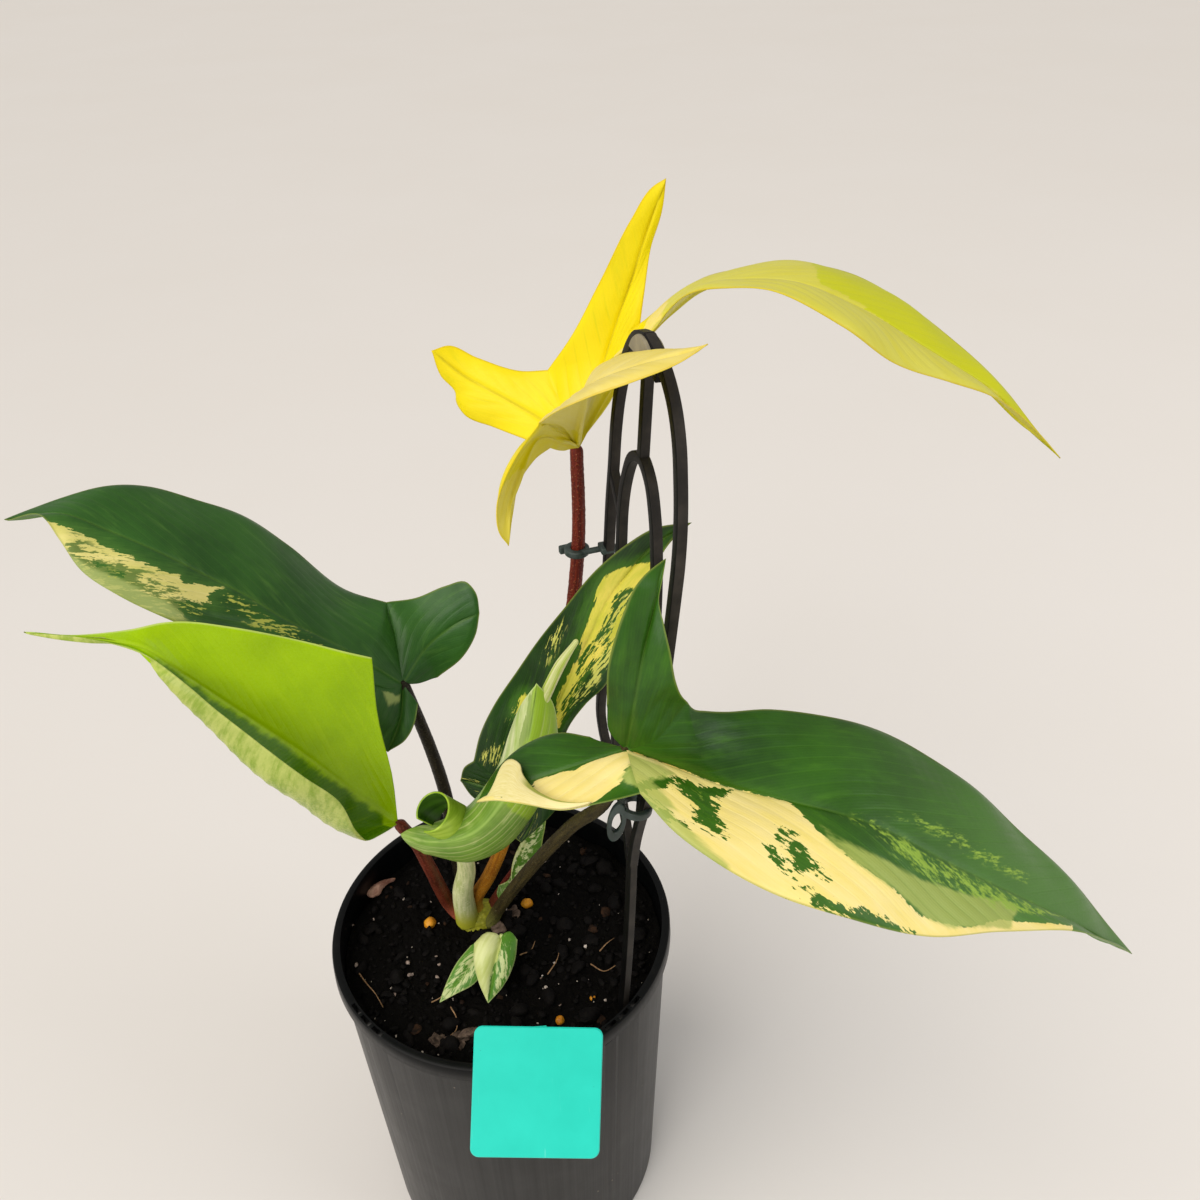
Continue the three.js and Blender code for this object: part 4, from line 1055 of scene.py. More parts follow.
class Value:
    """A number socket in an expression. Each sign of arithmetic adds its Math node."""

    def __init__(self, shader, socket):
        self.shader = shader
        self.socket = socket

    def math(self, operation, *others):
        return self.shader.math(operation, self, *others)

    def __add__(self, other):
        return self.math("ADD", other)

    __radd__ = __add__

    def __mul__(self, other):
        return self.math("MULTIPLY", other)

    def __sub__(self, other):
        return self.math("SUBTRACT", other)

    def __rsub__(self, other):
        return self.shader.math("SUBTRACT", other, self)

    def __truediv__(self, other):
        return self.math("DIVIDE", other)

    def __abs__(self):
        return self.math("ABSOLUTE")


class Shader:
    """One material: its nodes, and the few patterns that all materials share."""

    def __init__(self, name):
        self.material = bpy.data.materials.new(name)
        self.material.use_nodes = True
        self.tree = self.material.node_tree
        self.tree.nodes.clear()

    def node(self, kind, settings=None, inputs=None):
        """Any node: its settings, then its sockets' links or values. A colour may be a #rrggbb code."""
        node = self.tree.nodes.new(kind)
        for key, value in (settings or {}).items():
            setattr(node, key, value)
        for key, value in (inputs or {}).items():
            if isinstance(value, Value):
                self.tree.links.new(value.socket, node.inputs[key])
            else:
                node.inputs[key].default_value = hue(value) if isinstance(value, str) else value
        return node

    def out(self, node, socket=0):
        return Value(self, node.outputs[socket])

    def math(self, operation, *values):
        return self.out(self.node("ShaderNodeMath", {"operation": operation}, dict(enumerate(values))))

    def range(self, value, low, high, to_low=0.0, to_high=1.0, kind="SMOOTHSTEP"):
        """to_low below low, to_high above high, and a step between them."""
        inputs = {"Value": value, "From Min": low, "From Max": high, "To Min": to_low, "To Max": to_high}
        return self.out(self.node("ShaderNodeMapRange", {"interpolation_type": kind}, inputs))

    def fade(self, value, low, high):
        """1 below low, 0 above high, and a soft step between them."""
        return self.range(value, low, high, 1.0, 0.0)

    def mix(self, share, a, b):
        """A colour between a and b."""
        settings = {"data_type": "RGBA", "clamp_factor": True}
        return self.out(self.node("ShaderNodeMix", settings, {0: share, 6: a, 7: b}), 2)

    def uv(self, layer):
        """The two numbers of one of the piece's own UV maps."""
        node = self.node("ShaderNodeUVMap", {"uv_map": layer})
        parts = self.node("ShaderNodeSeparateXYZ", None, {0: self.out(node)})
        return self.out(parts, 0), self.out(parts, 1)

    def place(self):
        """The three Object coordinates, in metres."""
        parts = self.node("ShaderNodeSeparateXYZ", None, {0: self.object()})
        return self.out(parts, 0), self.out(parts, 1), self.out(parts, 2)

    def object(self):
        return self.out(self.node("ShaderNodeTexCoord"), "Object")

    def vector(self, x, y, z=0.0):
        return self.out(self.node("ShaderNodeCombineXYZ", None, {0: x, 1: y, 2: z}))

    def noise(self, vector, scale, detail=2.0, roughness=0.5, distortion=0.0):
        inputs = {"Vector": vector, "Scale": scale, "Detail": detail, "Roughness": roughness}
        inputs["Distortion"] = distortion
        return self.out(self.node("ShaderNodeTexNoise", None, inputs))

    def cells(self, vector, scale):
        """The distance to the nearest of many scattered points."""
        return self.out(self.node("ShaderNodeTexVoronoi", None, {"Vector": vector, "Scale": scale}))

    def bump(self, height, strength, distance):
        inputs = {"Height": height, "Strength": strength, "Distance": distance}
        return self.out(self.node("ShaderNodeBump", None, inputs), "Normal")

    def finish(self, color, roughness, normal=None, shine=0.5):
        """The surface, and the finished material."""
        inputs = {"Base Color": color, "Roughness": roughness, "Specular IOR Level": shine}
        if normal:
            inputs["Normal"] = normal
        surface = self.node("ShaderNodeBsdfPrincipled", None, inputs)
        output = self.node("ShaderNodeOutputMaterial")
        self.tree.links.new(surface.outputs[0], output.inputs[0])
        return self.material


def leaf_material(name, look, under=False):
    """A blade's face: green and cream tissue, midrib and side veins, and a thin pale edge.

    Its UV maps are in centimetres.
    """
    s = Shader(name)
    across, along = s.uv("blade")
    cream, speckle = s.uv("marks")
    edge, haze = s.uv("edge")
    lines, spread = s.uv("veins")
    side = abs(across)
    place = s.object()
    streak = s.noise(s.vector(lines * 2.4, spread * 0.45, look["seed"]), 1.0, 5.0, 0.62)
    fine = look["fine"]
    stretched = s.vector(lines * (9.0 * fine), spread * (look["stretch"] * fine), look["seed"])
    fleck = s.noise(stretched, 1.0, 3.0, 0.65)
    grain = s.noise(place, 1100.0, 2.0, 0.6)
    cloud = s.noise(place, 38.0, 4.0, 0.6)
    speckled = s.range(speckle, -0.15, 0.15)
    torn = (fleck - 0.5) * (speckled * look["torn_more"] + look["torn"])
    ragged = cream + (streak - 0.5) * look["ragged"] + torn
    painted = s.range(ragged, -0.012, 0.012)
    dotted = fleck * 0.6 + streak * 0.4 + s.range(speckle, -0.2, 0.5) * 0.09
    flecked = s.range(dotted, look["fleck"], look["fleck"] + look["fleck_soft"]) * speckled
    flecked = flecked * s.fade(ragged, -look["clear"], 0.05 - look["clear"])
    beat = abs(s.math("FRACT", lines / (0.1 * look["spacing"])) - 0.5) * look["spacing"]
    lateral = s.fade(beat, 0.05, 0.5) * s.range(edge, 0.05, 0.8) * s.range(side, 0.05, 0.4)
    finer = abs(s.math("FRACT", lines / 0.083) - 0.5) * 2.0
    middle = s.fade(side, 0.015, 0.075) * s.range(edge, 0.0, 0.3)
    green = s.mix(s.range(cloud, 0.3, 0.7), look["dark"], look["green"])
    green = s.mix(s.range(streak, 0.5, 0.8) * look["streaky"], green, look["light"])
    green = s.mix(s.range(ragged, -0.5, -0.02) * look["band"], green, look["light"])
    # Haze tones the tissue half-way; on the front leaf and beside the right leaf's curled lobe end it is
    # painted shade.
    haze_and_shade_mask = s.range(haze + (streak - 0.5) * 0.5, -0.06, 0.1)
    green = s.mix(s.range(along, 4.0, 15.0) * look["far_share"], green, look["far"])
    green = s.mix(haze_and_shade_mask * 0.85, green, look["haze"])
    green = s.mix(lateral * look["veined"] + finer * 0.07, green, look["light"])
    pale = s.mix(s.range(streak, 0.3, 0.7), look["cream"], look["cream_deep"])
    pale = s.mix(lateral * 0.2 + grain * 0.1, pale, look["cream_vein"])
    pale = s.mix(haze_and_shade_mask * look["cream_haze"], pale, look["haze"])
    pale = s.mix(s.range(dotted, look["inner"], look["inner"] + 0.05) * speckled * 0.85, pale, green)
    green = s.mix(flecked, green, look["fleck_color"])
    color = s.mix(painted, green, pale)
    color = s.mix(middle * (1.0 - painted * 0.85) * look["midrib_share"], color, look["midrib"])
    color = s.mix(s.fade(edge, 0.01, 0.07) * 0.5, color, look["margin"])
    if under:
        mottle = s.range(streak * 0.6 + fleck * 0.4, 0.42, 0.62) * look["mottled"]
        color = s.mix(look["under_share"], color, s.mix(mottle, look["under"], look["under_dark"]))
    roughness = s.range(grain, 0.2, 0.8, look["rough"] - 0.05, look["rough"] + 0.08, "LINEAR")
    height = grain * 0.3 + finer * 0.12 + s.noise(place, 300.0, 3.0, 0.55) * 0.5 - lateral * 0.3
    normal = s.bump(height, 0.32, 0.0003)
    return s.finish(color, roughness, normal, shine=look["shine"])


def rolled_material(name, dark, light, lengthwise=False):
    """A rolled part of a blade: finely streaked, along a tube or else round it, with a soft gloss."""
    s = Shader(name)
    if lengthwise:
        around, along = s.uv("stalk")
        streak = s.noise(s.vector(around * 9.0, along * 0.35), 1.0, 4.0, 0.6)
    else:
        x, y, z = s.place()
        streak = s.noise(s.vector(x * 60.0, y * 60.0, z * 420.0), 1.0, 4.0, 0.6)
    color = s.mix(s.range(streak, 0.3, 0.7), dark, light)
    normal = s.bump(streak, 0.2, 0.0004)
    return s.finish(color, 0.34 + streak * 0.1, normal, shine=0.35)


def flap_material():
    """The curled end of the right leaf's near lobe: cream, with a green band of painted shade along its free
    edge.
    """
    s = Shader("leaf_right_flap")
    share, width = s.uv("flap")
    streak = s.noise(s.vector(share * 9.0, width * 30.0), 1.0, 4.0, 0.6)
    color = s.mix(s.range(streak, 0.3, 0.7), "#e3d48a", "#f0e4aa")
    # Painted shade: a green band near the free edge, over the first half of the curl.
    band = s.range(width + (streak - 0.5) * 0.05, 0.66, 0.78) * s.fade(share, 0.42, 0.56)
    color = s.mix(band, color, "#9ea246")
    normal = s.bump(streak, 0.15, 0.0003)
    return s.finish(color, 0.36 + streak * 0.08, normal, shine=0.3)


def stalk_material(name, look):
    """A stalk's skin: streaked, with fine warts and pale flecks."""
    s = Shader(name)
    place = s.object()
    around, along = s.uv("stalk")
    streaks = s.noise(s.vector(around * 10.0, along * look["run"]), 1.0, 5.0, 0.65)
    warts = s.cells(place, look["warts"])
    speck = s.cells(place, look["warts"] * 0.55)
    grain = s.noise(place, 1200.0, 2.0, 0.6)
    color = s.mix(s.range(streaks, 0.3, 0.7), look["dark"], look["color"])
    color = s.mix(s.fade(warts, 0.1, 0.45) * 0.55, color, look["light"])
    color = s.mix(s.fade(speck, 0.05, 0.16) * look["flecks"], color, look["fleck"])
    color = s.mix(s.fade(along, look["foot_from"], look["foot_to"]), color, look["foot"])
    roughness = s.range(grain, 0.2, 0.8, look["rough"], look["rough"] + 0.15, "LINEAR")
    normal = s.bump(s.fade(warts, 0.0, 0.5) + grain * 0.3, look["relief"], 0.0005)
    return s.finish(color, roughness, normal, shine=0.2)


def pot_material():
    """Black moulded plastic, drawn in faint upright streaks, with dust and a few specks of soil."""
    s = Shader("pot_plastic")
    x, y, z = s.place()
    turn = s.math("ARCTAN2", y, x)
    streak = s.noise(s.vector(turn * 26.0, z * 3.0), 1.0, 4.0, 0.65)
    fine = s.noise(s.vector(turn * 160.0, z * 8.0), 1.0, 3.0, 0.6)
    dust = s.noise(s.object(), 60.0, 5.0, 0.65)
    speck = s.cells(s.object(), 190.0)
    color = s.mix(streak, "#030404", "#0c0d0e")
    color = s.mix(s.range(dust, 0.5, 0.8) * 0.15, color, "#3a3632")
    color = s.mix(s.fade(speck, 0.05, 0.09) * s.range(dust, 0.52, 0.6), color, "#8a7c6c")
    roughness = 0.2 + streak * 0.2 + dust * 0.12
    normal = s.bump(streak * 0.5 + fine * 0.5, 0.16, 0.0006)
    return s.finish(color, roughness, normal, shine=0.14)


def plastic_material(name, dark, light, rough=0.38, shine=0.5):
    """Moulded plastic, a little scuffed, paler where it has rubbed."""
    s = Shader(name)
    place = s.object()
    cloud = s.noise(place, 120.0, 4.0, 0.6)
    grain = s.noise(place, 1500.0, 2.0, 0.6)
    color = s.mix(s.range(cloud, 0.35, 0.75), dark, light)
    roughness = rough + cloud * 0.16 + grain * 0.06
    normal = s.bump(grain * 0.4 + cloud * 0.6, 0.2, 0.0003)
    return s.finish(color, roughness, normal, shine=shine)


def label_material():
    """Blue-green sheet plastic with tiny specks of dust and faint scratches."""
    s = Shader("label_plastic")
    x, y, z = s.place()
    cloud = s.noise(s.object(), 70.0, 3.0, 0.6)
    speck = s.cells(s.object(), 330.0)
    scratch = s.noise(s.vector(x * 900.0, z * 60.0, y * 40.0), 1.0, 3.0, 0.6)
    color = s.mix(cloud, "#0ac6b2", "#18d8c4")
    color = s.mix(s.fade(speck, 0.04, 0.075) * s.range(cloud, 0.5, 0.62), color, "#0b6f68")
    color = s.mix(s.range(scratch, 0.68, 0.8) * 0.3, color, "#8eefe2")
    normal = s.bump(cloud * 0.6 + scratch * 0.2, 0.1, 0.0004)
    return s.finish(color, 0.36 + cloud * 0.12, normal, shine=0.5)


def soil_material():
    """Damp black potting mix."""
    s = Shader("potting_mix")
    place = s.object()
    crumb = s.cells(place, 520.0)
    lump = s.noise(place, 160.0, 5.0, 0.7)
    fibre = s.noise(place, 900.0, 4.0, 0.7, 1.5)
    color = s.mix(lump, "#010100", "#0d0a08")
    color = s.mix(s.range(fibre, 0.6, 0.85) * 0.5, color, "#251b15")
    color = s.mix(s.fade(crumb, 0.0, 0.2) * 0.2, color, "#17110e")
    roughness = s.range(lump, 0.3, 0.7, 0.62, 0.95, "LINEAR")
    normal = s.bump(lump * 0.6 + fibre * 0.6 - crumb * 0.5, 0.9, 0.0012)
    return s.finish(color, roughness, normal, shine=0.08)


def grain_material(name, dark, light, rough, scale=400.0, relief=0.6, shine=0.3):
    """A loose grain of the mix: bark, perlite, fertiliser or root."""
    s = Shader(name)
    place = s.object()
    cloud = s.noise(place, scale, 5.0, 0.65, 0.4)
    pores = s.cells(place, scale * 2.2)
    color = s.mix(s.range(cloud, 0.3, 0.7), dark, light)
    normal = s.bump(cloud + pores * 0.4, relief, 0.0006)
    return s.finish(color, rough + cloud * 0.15, normal, shine=shine)


def length_property(name, description, default, lowest, highest):
    """A length setting, from its values in millimetres."""
    return bpy.props.FloatProperty(
        name=name, description=description, default=default * MM, min=lowest * MM, max=highest * MM,
        subtype="DISTANCE", unit="LENGTH", precision=5,
    )


def color_property(name, description, code):
    return bpy.props.FloatVectorProperty(
        name=name, description=description, default=hue(code), size=4, min=0, max=1, subtype="COLOR"
    )


class PlantSettings(bpy.types.PropertyGroup):
    """Sizes and colours of the plant."""

    thickness: length_property(
        "Blade thickness", "Thickness of a leaf blade between its veins", 0.6, 0.2, 1.2
    )
    wave: length_property("Margin wave", "How far a blade's margin waves up and down", 0.7, 0, 2)
    dark: color_property("Dark green", "Old blades in the dark parts", "#193d05")
    green: color_property("Green", "Old blades in their lit parts", "#2b5a09")
    cream: color_property("Cream", "The variegated parts of a blade", "#f6e396")
    yellow: color_property("Yellow", "The tall yellow leaf", "#f2de0c")
    lime: color_property("Lime", "The young leaf", "#a4ca00")


class PotSettings(bpy.types.PropertyGroup):
    """Sizes of the pot and what lies in it."""

    sides: bpy.props.IntProperty(
        name="Pot sides", description="Steps round the pot", default=144, min=48, max=256
    )
    grains: bpy.props.IntProperty(
        name="Loose grains", description="How many loose bits lie on the potting mix",
        default=900, min=0, max=3000,
    )
    seed: bpy.props.IntProperty(name="Seed", description="Changes where the loose bits lie", default=5)


class StageSettings(bpy.types.PropertyGroup):
    """Light, floor and camera."""

    light: bpy.props.FloatProperty(
        name="Studio light", description="Strength of the large soft light", default=1.9, min=0
    )
    sky: bpy.props.FloatProperty(
        name="Room light", description="Strength of the even light from all round", default=0.5, min=0
    )
    floor: color_property("Floor", "The plain pale floor", "#e7e3e0")


# How finely a large and a small blade are made: its rows of points beside the folds, its columns on
# each side of the midrib, and the distance between its further rows in millimetres
FINE = (10, 26, 1.25)
SMALL = (6, 12, 0.7)

# What the blades' looks have in common: colours, how strong the side veins, midrib, haze and flecks
# show, how ragged and torn the cream's edge is, and the side veins' slant and spacing
LEAF_LOOK = {
    "light": "#487c12", "cream_deep": "#f2dd7c", "cream_vein": "#f6e9a6", "midrib": "#688c2c",
    "haze": "#93a551", "margin": "#87943c", "under": "#7f9a5c", "under_dark": "#7f9a2c",
    "fleck_color": "#b3b850", "far": "#5c8a3c", "far_share": 0.0, "under_share": 0.4, "mottled": 0.0,
    "midrib_share": 0.4, "veined": 0.13, "band": 0.3, "streaky": 0.45, "cream_haze": 0.0,
    "ragged": 0.16, "torn": 0.3, "torn_more": 0.0, "fleck": 0.6, "fleck_soft": 0.02, "clear": 0.0,
    "inner": 2.0, "stretch": 2.6, "fine": 1.0, "turn": 68.0, "spacing": 4.0, "seed": 1.0,
    "rough": 0.38, "shine": 0.3,
}


def leaf_look(plant, **changes):
    return {**LEAF_LOOK, "dark": plant.dark, "green": plant.green, "cream": plant.cream, **changes}


def both_faces(name, look):
    """The materials of a blade's upper and lower face."""
    return [leaf_material(name + "_upper", look), leaf_material(name + "_under", look, under=True)]


def build_leaf(name, leaf, look, marks, reach, extra=(), turns=None):
    """One leaf: its blade, its two faces' materials, and anything grown with it."""
    plant = bpy.context.scene.plant_settings
    form = {
        "reach": reach, "turn": look["turn"], "turns": turns or {}, "spacing": look["spacing"],
        "quilt": 0.12, "wave": plant.wave / MM,
    }
    piece = blade_object(name + "_blade", leaf, FINE, form, marks, plant.thickness / MM)
    for part, materials in ((piece, both_faces(name, look)), *extra):
        for material in materials:
            part.data.materials.append(material)
    if extra:
        piece = join([piece, *(part for part, _ in extra)], name + "_blade")
    return finish_piece(piece, [], name, name)


class PLANT_OT_leaves(bpy.types.Operator):
    """Adds the six large leaves"""

    bl_idname = "plant.leaves"
    bl_label = "Leaves"

    def execute(self, context):
        plant = context.scene.plant_settings
        yellow = leaf_look(
            plant, dark="#ead400", green=plant.yellow, light="#c3c600", midrib="#bdb01c", haze="#c6cc00",
            margin="#d2b010", under="#c9be04", under_share=0.6, cream="#efdd7c", cream_deep="#ead45c",
            cream_vein="#f2e493", seed=2.0, shine=0.25, rough=0.42, ragged=0.6, veined=0.25, turn=60.0,
            cream_haze=0.55,
        )
        build_leaf("leaf_top", TOP_LEAF, yellow, TOP_MARKS, 190, turns={0: 75.0, 4: 75.0})
        left = leaf_look(
            plant, seed=3.0, fleck=0.59, cream="#e2d782", cream_deep="#cfcb68", inner=0.54, haze="#a3b166",
            cream_haze=0.75, torn=0.5, torn_more=0.5, ragged=0.3, veined=0.06, dark="#1d4812",
            green="#2f5f1c", midrib_share=0.2, light="#5c8a34",
        )
        build_leaf("leaf_left", LEFT_LEAF, left, LEFT_MARKS, 150)
        # The lime leaf's haze colour is a dark green: painted shade inside its rolled left half, over some
        # darker tissue of its own.
        lime = leaf_look(
            plant, dark="#92b800", green=plant.lime, light="#b4d40c", midrib="#a9c92a", margin="#d3dc8a",
            under="#bcc46a", under_share=0.85, rough=0.26, seed=4.0, mottled=0.8, turn=50.0, veined=0.1,
            haze="#2f6a02", shine=0.2,
        )
        build_leaf("leaf_front", FRONT_LEAF, lime, FRONT_MARKS, 160)
        # On the right leaf's near lobe this haze colour paints the shade band beside the curl; on the main
        # lobe it is hazy tissue.
        half = leaf_look(
            plant, seed=5.0, cream_haze=0.8, fleck=0.52, fleck_color="#8fb03c", fleck_soft=0.12,
            torn_more=0.7, far_share=0.65, haze="#a5b358", clear=0.35, midrib_share=0.15,
        )
        flap = (curled_flap(), [flap_material()])
        build_leaf("leaf_right", RIGHT_LEAF, half, RIGHT_MARKS, 190, extra=[flap], turns={0: 84.0})
        back = leaf_look(
            plant, seed=6.0, turn=84.0, ragged=0.35, torn=0.35, torn_more=0.9, cream="#ecd95c",
            cream_deep="#c2c430", cream_vein="#f0e48a", dark="#10290a", band=0.5,
            green="#1c400f", fleck_color="#c9c860", fleck=0.575, stretch=1.1, fine=1.6,
        )
        build_leaf("leaf_back", BACK_LEAF, back, BACK_MARKS, 145)
        young = leaf_look(
            plant, dark="#557c20", green="#7d9f38", light="#c9d08a", midrib="#a9c766", streaky=1.2,
            haze="#8fb40c", margin="#cfdf9a", under="#a4b868", under_share=0.2, seed=7.0, turn=86.0,
            veined=0.35, spacing=3.0, cream="#d2d6a4", cream_deep="#98b255", cream_vein="#dfe0b8",
            ragged=0.5, torn=0.4, stretch=0.9,
        )
        point = [rolled_material("new_leaf_point", "#9cb32c", "#ddd8aa", lengthwise=True)]
        scroll = [
            rolled_material("new_leaf_scroll", "#86a820", "#b4cf4c"),
            # The hollow side is darker than the blade's upper face: painted shade inside the roll.
            rolled_material("new_leaf_inside_shaded", "#2a520c", "#4c7c1c"),
        ]
        rolled = [(new_leaf_point(), point), (new_leaf_scroll(), scroll)]
        build_leaf("leaf_new", NEW_LEAF, young, NEW_MARKS, 100, extra=rolled)
        return {"FINISHED"}


# The near lobe of the right leaf curls over itself at its end. For each step along the curl: where
# its fold and its free edge lie on the blade, and how far the edge stands off, all in millimetres.
CURL = [
    [(-19.8, 24.4), (-19.4, 24.8), 0.2],
    [(-19.5, 25.8), (-18.4, 26.1), 0.6],
    [(-19, 27.2), (-16.8, 27.2), 1.0],
    [(-18.5, 28.6), (-14.8, 28.3), 1.4],
    [(-17.6, 30), (-12, 29), 1.8],
    [(-16.6, 31.4), (-8, 29.3), 2.1],
    [(-15.4, 32.8), (-2.8, 28.6), 2.4],
    [(-14.2, 34.2), (1.4, 28.8), 2.6],
    [(-12.8, 35.6), (4.2, 30), 2.7],
    [(-11.4, 37), (6.4, 32), 2.7],
    [(-10, 38.4), (7.7, 34), 2.6],
    [(-8.4, 39.8), (7.8, 35.6), 2.3],
    [(-6.8, 41.2), (7, 36.8), 1.9],
    [(-5.2, 42.6), (5.4, 37.8), 1.5],
    [(-3.6, 44.2), (3, 39), 1.0],
    [(-2.4, 45.6), (0, 41.4), 0.4],
]


FLAP_STEPS = 66
FLAP_ROWS = 22
FLAP_THICKNESS = 0.6
FLAP_CLEARANCE = 0.75


def curled_flap():
    """The end of the near lobe that has curled over: a thin sheet that bows up from its fold."""
    fold, edge = ([lobe_place(RIGHT_LEAF, 2, *step[k]) for step in CURL] for k in (0, 1))
    curves = [Curve([p for p, _ in side]) for side in (fold, edge)]
    up = sum((n for _, n in edge), Vector()).normalized()
    lift = Curve([(step[2], k, 0) for k, step in enumerate(CURL)])
    upper = []
    for i in range(FLAP_STEPS + 1):
        share = i / FLAP_STEPS
        low, high = (curve.at(share) for curve in curves)
        rise = lift.at(share).x
        for j in range(FLAP_ROWS + 1):
            w = j / FLAP_ROWS
            bow = rise * (math.sin(math.pi * w) * 0.25 + w) * 0.9 + FLAP_CLEARANCE
            upper.append(low.lerp(high, w) + up * bow)
    wide, count = FLAP_ROWS + 1, len(upper)
    faces = []
    for i in range(FLAP_STEPS):
        for j in range(FLAP_ROWS):
            ring = [i * wide + j, i * wide + j + 1, (i + 1) * wide + j + 1, (i + 1) * wide + j]
            faces += [ring, [count + a for a in reversed(ring)]]
    border = list(range(FLAP_ROWS)) + [i * wide + FLAP_ROWS for i in range(FLAP_STEPS)]
    border += [FLAP_STEPS * wide + j for j in range(FLAP_ROWS, 0, -1)]
    border += [i * wide for i in range(FLAP_STEPS, 0, -1)]
    for a, b in zip(border, border[1:] + border[:1]):
        faces.append([b, a, count + a, count + b])
    piece = mesh_object("flap", upper + [p - up * FLAP_THICKNESS for p in upper], faces)
    layer = piece.data.uv_layers.new(name="flap")
    for loop, corner in zip(piece.data.loops, layer.data):
        i, j = divmod(loop.vertex_index % count, wide)
        corner.uv = (i / FLAP_STEPS, j / FLAP_ROWS)
    return turn_outward(piece)


def new_leaf_point():
    """The unopened end of the new leaf: a tube that narrows, with a faint fold wound round it."""
    low, high = NEW_LEAF_POINT_RADII

    def radius(share):
        return (low + (high - low) * share) * float(1 - 0.4 * smooth(share, 0.8, 1))

    def fold(share, angle):
        return 0.12 * math.sin(angle * 2 + 5 * share)

    return tube_object("new_leaf_point", Route(NEW_LEAF_POINT), radius, 28, 90, fold)


def new_leaf_scroll():
    """The rolled sheet at the new leaf's base, with its hollow side in its second material, a darker green
    that paints shade.
    """
    start, end = Vector(SCROLL_FROM), Vector(SCROLL_TO)
    forward = (end - start).normalized()
    across = forward.cross(Vector((0, 0, 1))).normalized()
    up = across.cross(forward)
    steps, rows = 60, 24
    wide = steps + 1
    points, faces, inner = [], [], []
    for i in range(rows + 1):
        centre = start.lerp(end, i / rows)
        for inset in (0.0, ROLLED_THICKNESS):
            for k in range(wide):
                angle = math.radians(SCROLL_ANGLE + SCROLL_TURN * k / steps)
                r = SCROLL_RADIUS - SCROLL_INWARDS * k / steps - inset
                points.append(centre + across * (r * math.cos(angle)) + up * (r * math.sin(angle)))
    for i in range(rows):
        for k in range(steps):
            for layer in (0, 1):
                a = i * 2 * wide + layer * wide + k
                ring = [a, a + 1, a + 1 + 2 * wide, a + 2 * wide]
                faces.append(ring[::-1] if layer else ring)
                inner.append(layer)
        for k in (0, steps):
            a = i * 2 * wide + k
            ring = [a, a + wide, a + 3 * wide, a + 2 * wide]
            faces.append(ring if k else ring[::-1])
            inner.append(0)
    for i in (0, rows):
        for k in range(steps):
            a = i * 2 * wide + k
            ring = [a, a + 1, a + 1 + wide, a + wide]
            faces.append(ring if i else ring[::-1])
            inner.append(0)
    scroll = mesh_object("new_leaf_scroll", points, faces)
    scroll.data.polygons.foreach_set("material_index", inner)
    return scroll


class PLANT_OT_small_leaves(bpy.types.Operator):
    """Adds the scale leaf between the stalks and the small side shoot"""

    bl_idname = "plant.small_leaves"
    bl_label = "Scale leaf and side shoot"

    def execute(self, context):
        plant = context.scene.plant_settings
        form = {"reach": 60, "turn": 72.0, "spacing": 3.0, "quilt": 0.1, "wave": 0.15}
        thickness = plant.thickness / MM
        look = leaf_look(
            plant, margin="#c5cf74", seed=8.0, spacing=3.0, turn=72.0, dark="#3d6b1c", green="#6b9438",
            cream="#dde2b4", cream_deep="#bcc87e", torn=0.6, cream_vein="#e6e9c4", fleck_color="#cdd69c",
            fleck=0.54, fleck_soft=0.06,
        )
        bract = blade_object("bract_blade", BRACT, SMALL, form, BRACT_MARKS, thickness)
        finish_piece(bract, both_faces("bract", look), "bract", "bract")
        left = blade_object("left", SHOOT_LEAF_LEFT, SMALL, form, SHOOT_LEFT_MARKS, thickness)
        right = blade_object("right", SHOOT_LEAF_RIGHT, SMALL, form, SHOOT_RIGHT_MARKS, thickness)
        low, high = SHOOT["radii"]
        stem = tube_object("stem", Route(SHOOT["route"]), lambda t: low + (high - low) * t, 16, 40)
        piece = join([left, right, stem], "shoot_leaves")
        look = leaf_look(
            plant, dark="#2f6414", green="#5d8f2c", margin="#cfd992", seed=9.0, spacing=3.0, turn=72.0,
            fleck=0.53, fleck_color="#bcc688", fleck_soft=0.06, cream="#d9de9c", cream_deep="#b4bf62",
            cream_vein="#e6e9bc",
        )
        finish_piece(piece, both_faces("shoot", look), "shoot", "shoot")
        return {"FINISHED"}


# Each stalk's look: its colours, roughness, relief, share of pale flecks, and warts across a metre
STALK_LOOK_KEYS = ("dark", "color", "light", "fleck", "foot", "rough", "relief", "flecks", "warts")
STALK_LOOKS = {
    "petiole_top": ("#4a1410", "#7c2c1a", "#a4552f", "#c99a72", "#5a2a16", 0.5, 0.8, 0.6, 1100.0),
    "petiole_left": ("#15120b", "#2a2416", "#3f3822", "#6b6444", "#4d4a26", 0.42, 0.5, 0.3, 1100.0),
    "petiole_front": ("#451a10", "#733222", "#8e4c36", "#b5866a", "#a3553f", 0.42, 0.45, 0.3, 1000.0),
    "petiole_right": ("#272010", "#463c1e", "#625830", "#938a5c", "#6f6f34", 0.55, 1.0, 0.5, 950.0),
    "petiole_back": ("#8a5114", "#b9791f", "#cf9d3c", "#dcc07a", "#c09a35", 0.4, 0.5, 0.3, 1000.0),
    "sheath": ("#b9c47a", "#e9e9b4", "#f4f2c8", "#c9a18a", "#b8b834", 0.38, 0.1, 0.1, 700.0),
    "crown": ("#7d7d22", "#a5a52e", "#bdb945", "#7c4a2a", "#8d6a2c", 0.45, 0.5, 0.5, 500.0),
}


def stalk_look(name, foot_from, foot_to, run):
    """A stalk's look, and where along it the foot's colour ends and how drawn out its streaks are."""
    look = dict(zip(STALK_LOOK_KEYS, STALK_LOOKS[name]))
    return {**look, "foot_from": foot_from, "foot_to": foot_to, "run": run}


